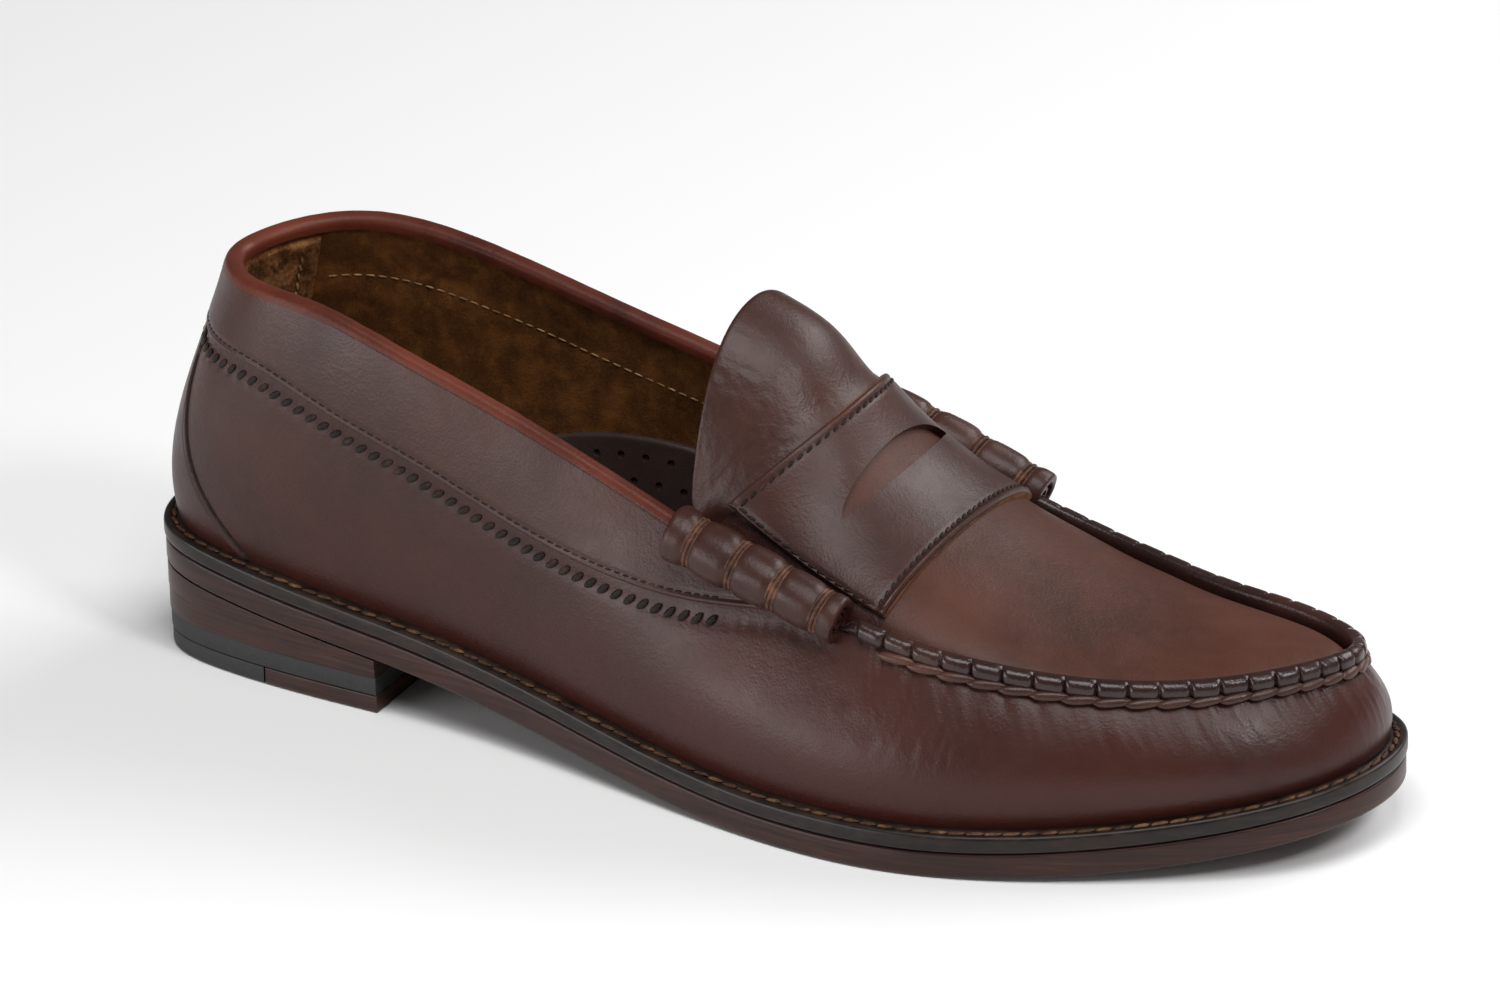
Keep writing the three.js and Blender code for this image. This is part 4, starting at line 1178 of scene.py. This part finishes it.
strap_length = np.linalg.norm(instep_skin(STRAP_REAR_S, 0.5) - instep_skin(STRAP_FRONT_S, 0.5))
strap_places = STRAP_REAR_S + (STRAP_FRONT_S - STRAP_REAR_S) * edged(strap_length, 0.9, 70)
strap_piece = piece("saddle_strap", top_sheet(
    strap_places, STRAP_SIDE, 1 - STRAP_SIDE, 2.3, -0.15, 0.8, 130, strap_relief), "upper_leather")
strap_sheet = (len(strap_places) - 1) * 137      # faces above and as many below; the cut edge is between
number = face_numbers(strap_piece)
second_look(strap_piece, (number >= strap_sheet) & (number < len(number) - strap_sheet), "raw_edge")
pierce(strap_piece, slot_cutter())
strap_piece.data.shade_smooth()
strap_piece.data.set_sharp_from_angle(angle=math.radians(42))


piece("strap_thread", strap_sewing(), "dark_thread")

# ---- beef rolls


def roll_axes(side):
    axis = np.array(ROLL_AXIS[side], float)
    out = np.array([0.0, -1.0 if side == "lateral" else 1.0, 0.0])
    along = unit(axis[-1] - axis[0])
    up = unit(np.array([-along[2], 0.0, along[0]]))
    return out, up


def roll_radius(f):
    """Five segments, each a little fuller towards the toe, drawn in at the ties."""
    f = np.asarray(f, float)
    waist = sum(bump(f, tie, 0.032) for tie in ROLL_TIES)
    along = np.interp(f, (0, *ROLL_TIES, 1), range(6)) % 1
    swell = 0.05 * np.sin(math.pi * along) + 0.07 * along
    taper = 1.1 - 0.16 * ease(0.3, 1, f) + 0.10 * bump(f, 0.0, 0.05)
    return ROLL_RADIUS * taper * (0.98 + swell - 0.15 * waist)


def roll_ring(side, f, extra, inner=None):
    """A crumpled ring round the roll's axis; inner gives its radius."""
    out, up = roll_axes(side)
    reach = float(roll_radius(f)) + extra if inner is None else inner
    angle = np.linspace(0, 2 * math.pi, 40, endpoint=False) * (-1 if side == "medial" else 1)
    reach = reach * (1 + 0.02 * noise(angle * 2.2, f * 9, 81))
    across = (np.cos(angle) * reach)[:, None] * out + (np.sin(angle) * reach)[:, None] * up
    return on_path(ROLL_AXIS[side], f) + across


def beef_roll(side):
    end = float(roll_radius(1.0))
    rings = [roll_ring(side, 0.0, 0, ROLL_RADIUS * k) for k in (0.35, 0.62, 0.78)]
    rings += [roll_ring(side, f, -0.5 * bump(f, 0, 0.012)) for f in np.linspace(0.004, 0.985, 150)]
    rings += [roll_ring(side, f, extra) for f, extra in ((0.995, -0.12), (1.0, -0.55), (1.0, -1.1))]
    rings += [roll_ring(side, 0.993, 0, end - 1.7)]
    rings += [roll_ring(side, f, 0, end - 1.9) for f in (0.96, 0.92, 0.88)]
    return stack([ring[::-1] for ring in rings])


def scroll(side):
    """The inner turn of the rolled leather, seen at the open toe end."""
    out, up = roll_axes(side)
    sign = 1 if side == "lateral" else -1
    turn = np.linspace(0.4, 3.6 * math.pi, 60)
    reach = 0.9 + (ROLL_RADIUS * 0.62 - 0.9) * (turn / turn[-1])
    centre = on_path(ROLL_AXIS[side], np.linspace(0.89, 0.988, 10))[:, None]
    outer = centre + (reach * np.cos(turn))[:, None] * out + (reach * np.sin(turn) * sign)[:, None] * up
    points, faces = skin(outer, outer - unit(outer - centre) * 0.75)
    return points, [face[::-sign] for face in faces]


def tie(side, f):
    """Three strands of thread wound round the roll, sunk into its waist."""
    out, up = roll_axes(side)
    axis = ROLL_AXIS[side]
    forward = unit(on_path(axis, 1.0) - on_path(axis, 0.0))
    radial = circle(out, up, 48)
    lean = 0.008 * np.sin(np.linspace(0, 2 * math.pi, 48, endpoint=False))
    strands = []
    for shift, lift in ((-0.022, 0.2), (0, 0.35), (0.022, 0.2)):
        path = on_path(axis, f + shift + lean) + radial * (roll_radius(f) + lift)
        grid = np.stack([p + circle(r * 0.62, forward * 0.6, 8) for p, r in zip(path, radial)])
        strands.append(closed_sweep(grid if side == "medial" else grid[:, ::-1]))
    return join(strands)


for side in ("lateral", "medial"):
    piece(f"beef_roll_{side}", join([beef_roll(side), scroll(side)]), "upper_leather", sharp=60)
    for k, f in enumerate(ROLL_TIES):
        piece(f"roll_tie_{side}_{k + 1}", tie(side, f), "dark_thread", look="tie_thread")

# ---- the toe seam's thread


def seam_thread():
    """One flat stitch under each pleat, each starting beneath the last, like a chain."""
    phase = seam_phase(SEAM_GRID)
    first = math.ceil(float(seam_phase(SEAM_S + 0.006)))
    last = math.floor(float(seam_phase(1 - SEAM_S - 0.006)))
    s = np.interp(np.arange(first, last) + 0.5, phase, SEAM_GRID)
    v = 0.984 - 0.4 / wall_height(s)
    along = wall(s + 0.001, v, -1.15) - wall(s - 0.001, v, -1.15)
    normal = wall_normal(s, v)
    pitch = 1 / np.interp(s, SEAM_GRID[1:], np.diff(phase)) * np.linalg.norm(
        on_loop(RIM, s + 0.00005) - on_loop(RIM, s - 0.00005), axis=1)
    along = unit(along) + 0.13 * unit(np.cross(normal, along))
    return stitches(wall(s, v, -1.15), along, normal, pitch * 1.22, 2.3, 1.5)


piece("moc_seam_thread", seam_thread(), "dark_thread", look="seam_stitch")

# ---- tongue


def tongue_reach(w):
    return 0.10 + 0.90 * np.sqrt(np.maximum(1 - np.abs(2 * w - 1) ** 2.2, 0))


def tongue():
    """Tongue and lining as one flap that bends behind the strap."""
    side = 0.012
    w = side + (1 - 2 * side) * edged(95, 0.9, 110)[None, :]
    reach = tongue_reach(w)
    t = edged(40, 0.9, 70)[::-1][:, None]
    q = t * reach
    distance = np.minimum(np.minimum(w - side, 1 - side - w) * 95, (1 - t) * reach * 40)
    crease = bump(w, 0.22, 0.2) * ease(0.02, 0.2, q) * (1 - ease(0.85, 1, q))
    lines = noise(w * 120 + 1.5 * noise(q * 14, w * 14, 92), q * 14, 91)
    grain = 0.12 * crease * lines + 0.06 * crease * noise(w * 230, q * 30, 93)
    outer = -0.1 - grain + 0.9 * rounded(distance, 0.8)
    inner = LEATHER + GAP + LINING - 0.5 * rounded(distance, 0.8)
    return skin(tongue_at(q, w, outer), tongue_at(q, w, inner))


flap = piece("tongue_flap", tongue(), "upper_leather", body=None, stands_for=("tongue", "tongue_lining"))
number = face_numbers(flap)
second_look(flap, number >= len(number) // 2 + 200, "suede_lining")
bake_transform(flap)

# ---- floor, light and camera


# Name, azimuth and elevation in degrees, distance, width and height in metres, power in watts.
LIGHTS = (
    ("overhead", -66, 68, 1.5, 0.9, 0.9, 14),
    ("back", 54, 38, 1.5, 1.3, 0.7, 15),
    ("side", -130, 8, 1.9, 1.8, 0.5, 17),
    ("toe", -22, 42, 1.6, 0.3, 0.3, 8),
)
FLOOR_REACH = 6.0
FLOOR_SHADER = {"Base Color": (0.88, 0.88, 0.88, 1), "Roughness": 0.9, "Specular IOR Level": 0.1}
CAMERA_AZIMUTH, CAMERA_ELEVATION, CAMERA_ROLL = 27.39, 23.77, -1.27
CAMERA_DISTANCE = 2.463
CAMERA_LENS = 262.4


def towards(azimuth, elevation):
    a, e = math.radians(azimuth), math.radians(elevation)
    return Vector((math.cos(a) * math.cos(e), math.sin(a) * math.cos(e), math.sin(e)))


def studio():
    box_low, box_high = (Vector(corner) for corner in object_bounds())
    centre = (box_low + box_high) / 2
    scene = bpy.context.scene
    mesh = bpy.data.meshes.new("floor")
    corners = [(x * FLOOR_REACH, y * FLOOR_REACH, 0) for x, y in ((-1, -1), (1, -1), (1, 1), (-1, 1))]
    mesh.from_pydata(corners, [], [(0, 1, 2, 3)])
    floor = add_object("floor", mesh)
    floor.location.z = box_low.z - 0.0002
    mesh.materials.append(new_look("floor", lambda tree: FLOOR_SHADER))
    floor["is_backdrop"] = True

    scene.world = bpy.data.worlds.new("studio")
    scene.world.use_nodes = True
    tree = scene.world.node_tree
    fill(tree, tree.nodes["Background"], {"Color": (1, 1, 1, 1), "Strength": 0.12})
    for name, azimuth, elevation, distance, width, height, power in LIGHTS:
        light = bpy.data.lights.new(name, "AREA")
        light.shape = "RECTANGLE"
        light.size = width
        light.size_y = height
        light.energy = power
        lamp = add_object(name, light)
        lamp.location = centre + distance * towards(azimuth, elevation)
        lamp.rotation_euler = (centre - lamp.location).to_track_quat("-Z", "Y").to_euler()
        lamp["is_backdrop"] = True

    roll = math.radians(CAMERA_ROLL)
    back = towards(CAMERA_AZIMUTH - 90, CAMERA_ELEVATION)
    right = towards(CAMERA_AZIMUTH, 0)
    up = back.cross(right)
    turned_right = right * math.cos(roll) + up * math.sin(roll)
    turned_up = up * math.cos(roll) - right * math.sin(roll)
    target = centre + Vector((-0.0037, 0.0039, 0.0031))
    camera = bpy.data.cameras.new("camera")
    camera.sensor_width = 36
    camera.lens = CAMERA_LENS
    camera.clip_end = 20
    eye = add_object("camera", camera)
    turn = Matrix((turned_right, turned_up, back)).transposed()
    eye.matrix_world = Matrix.Translation(target + back * CAMERA_DISTANCE) @ turn.to_4x4()
    scene.camera = eye
    scene.view_settings.view_transform = "Standard"


studio()
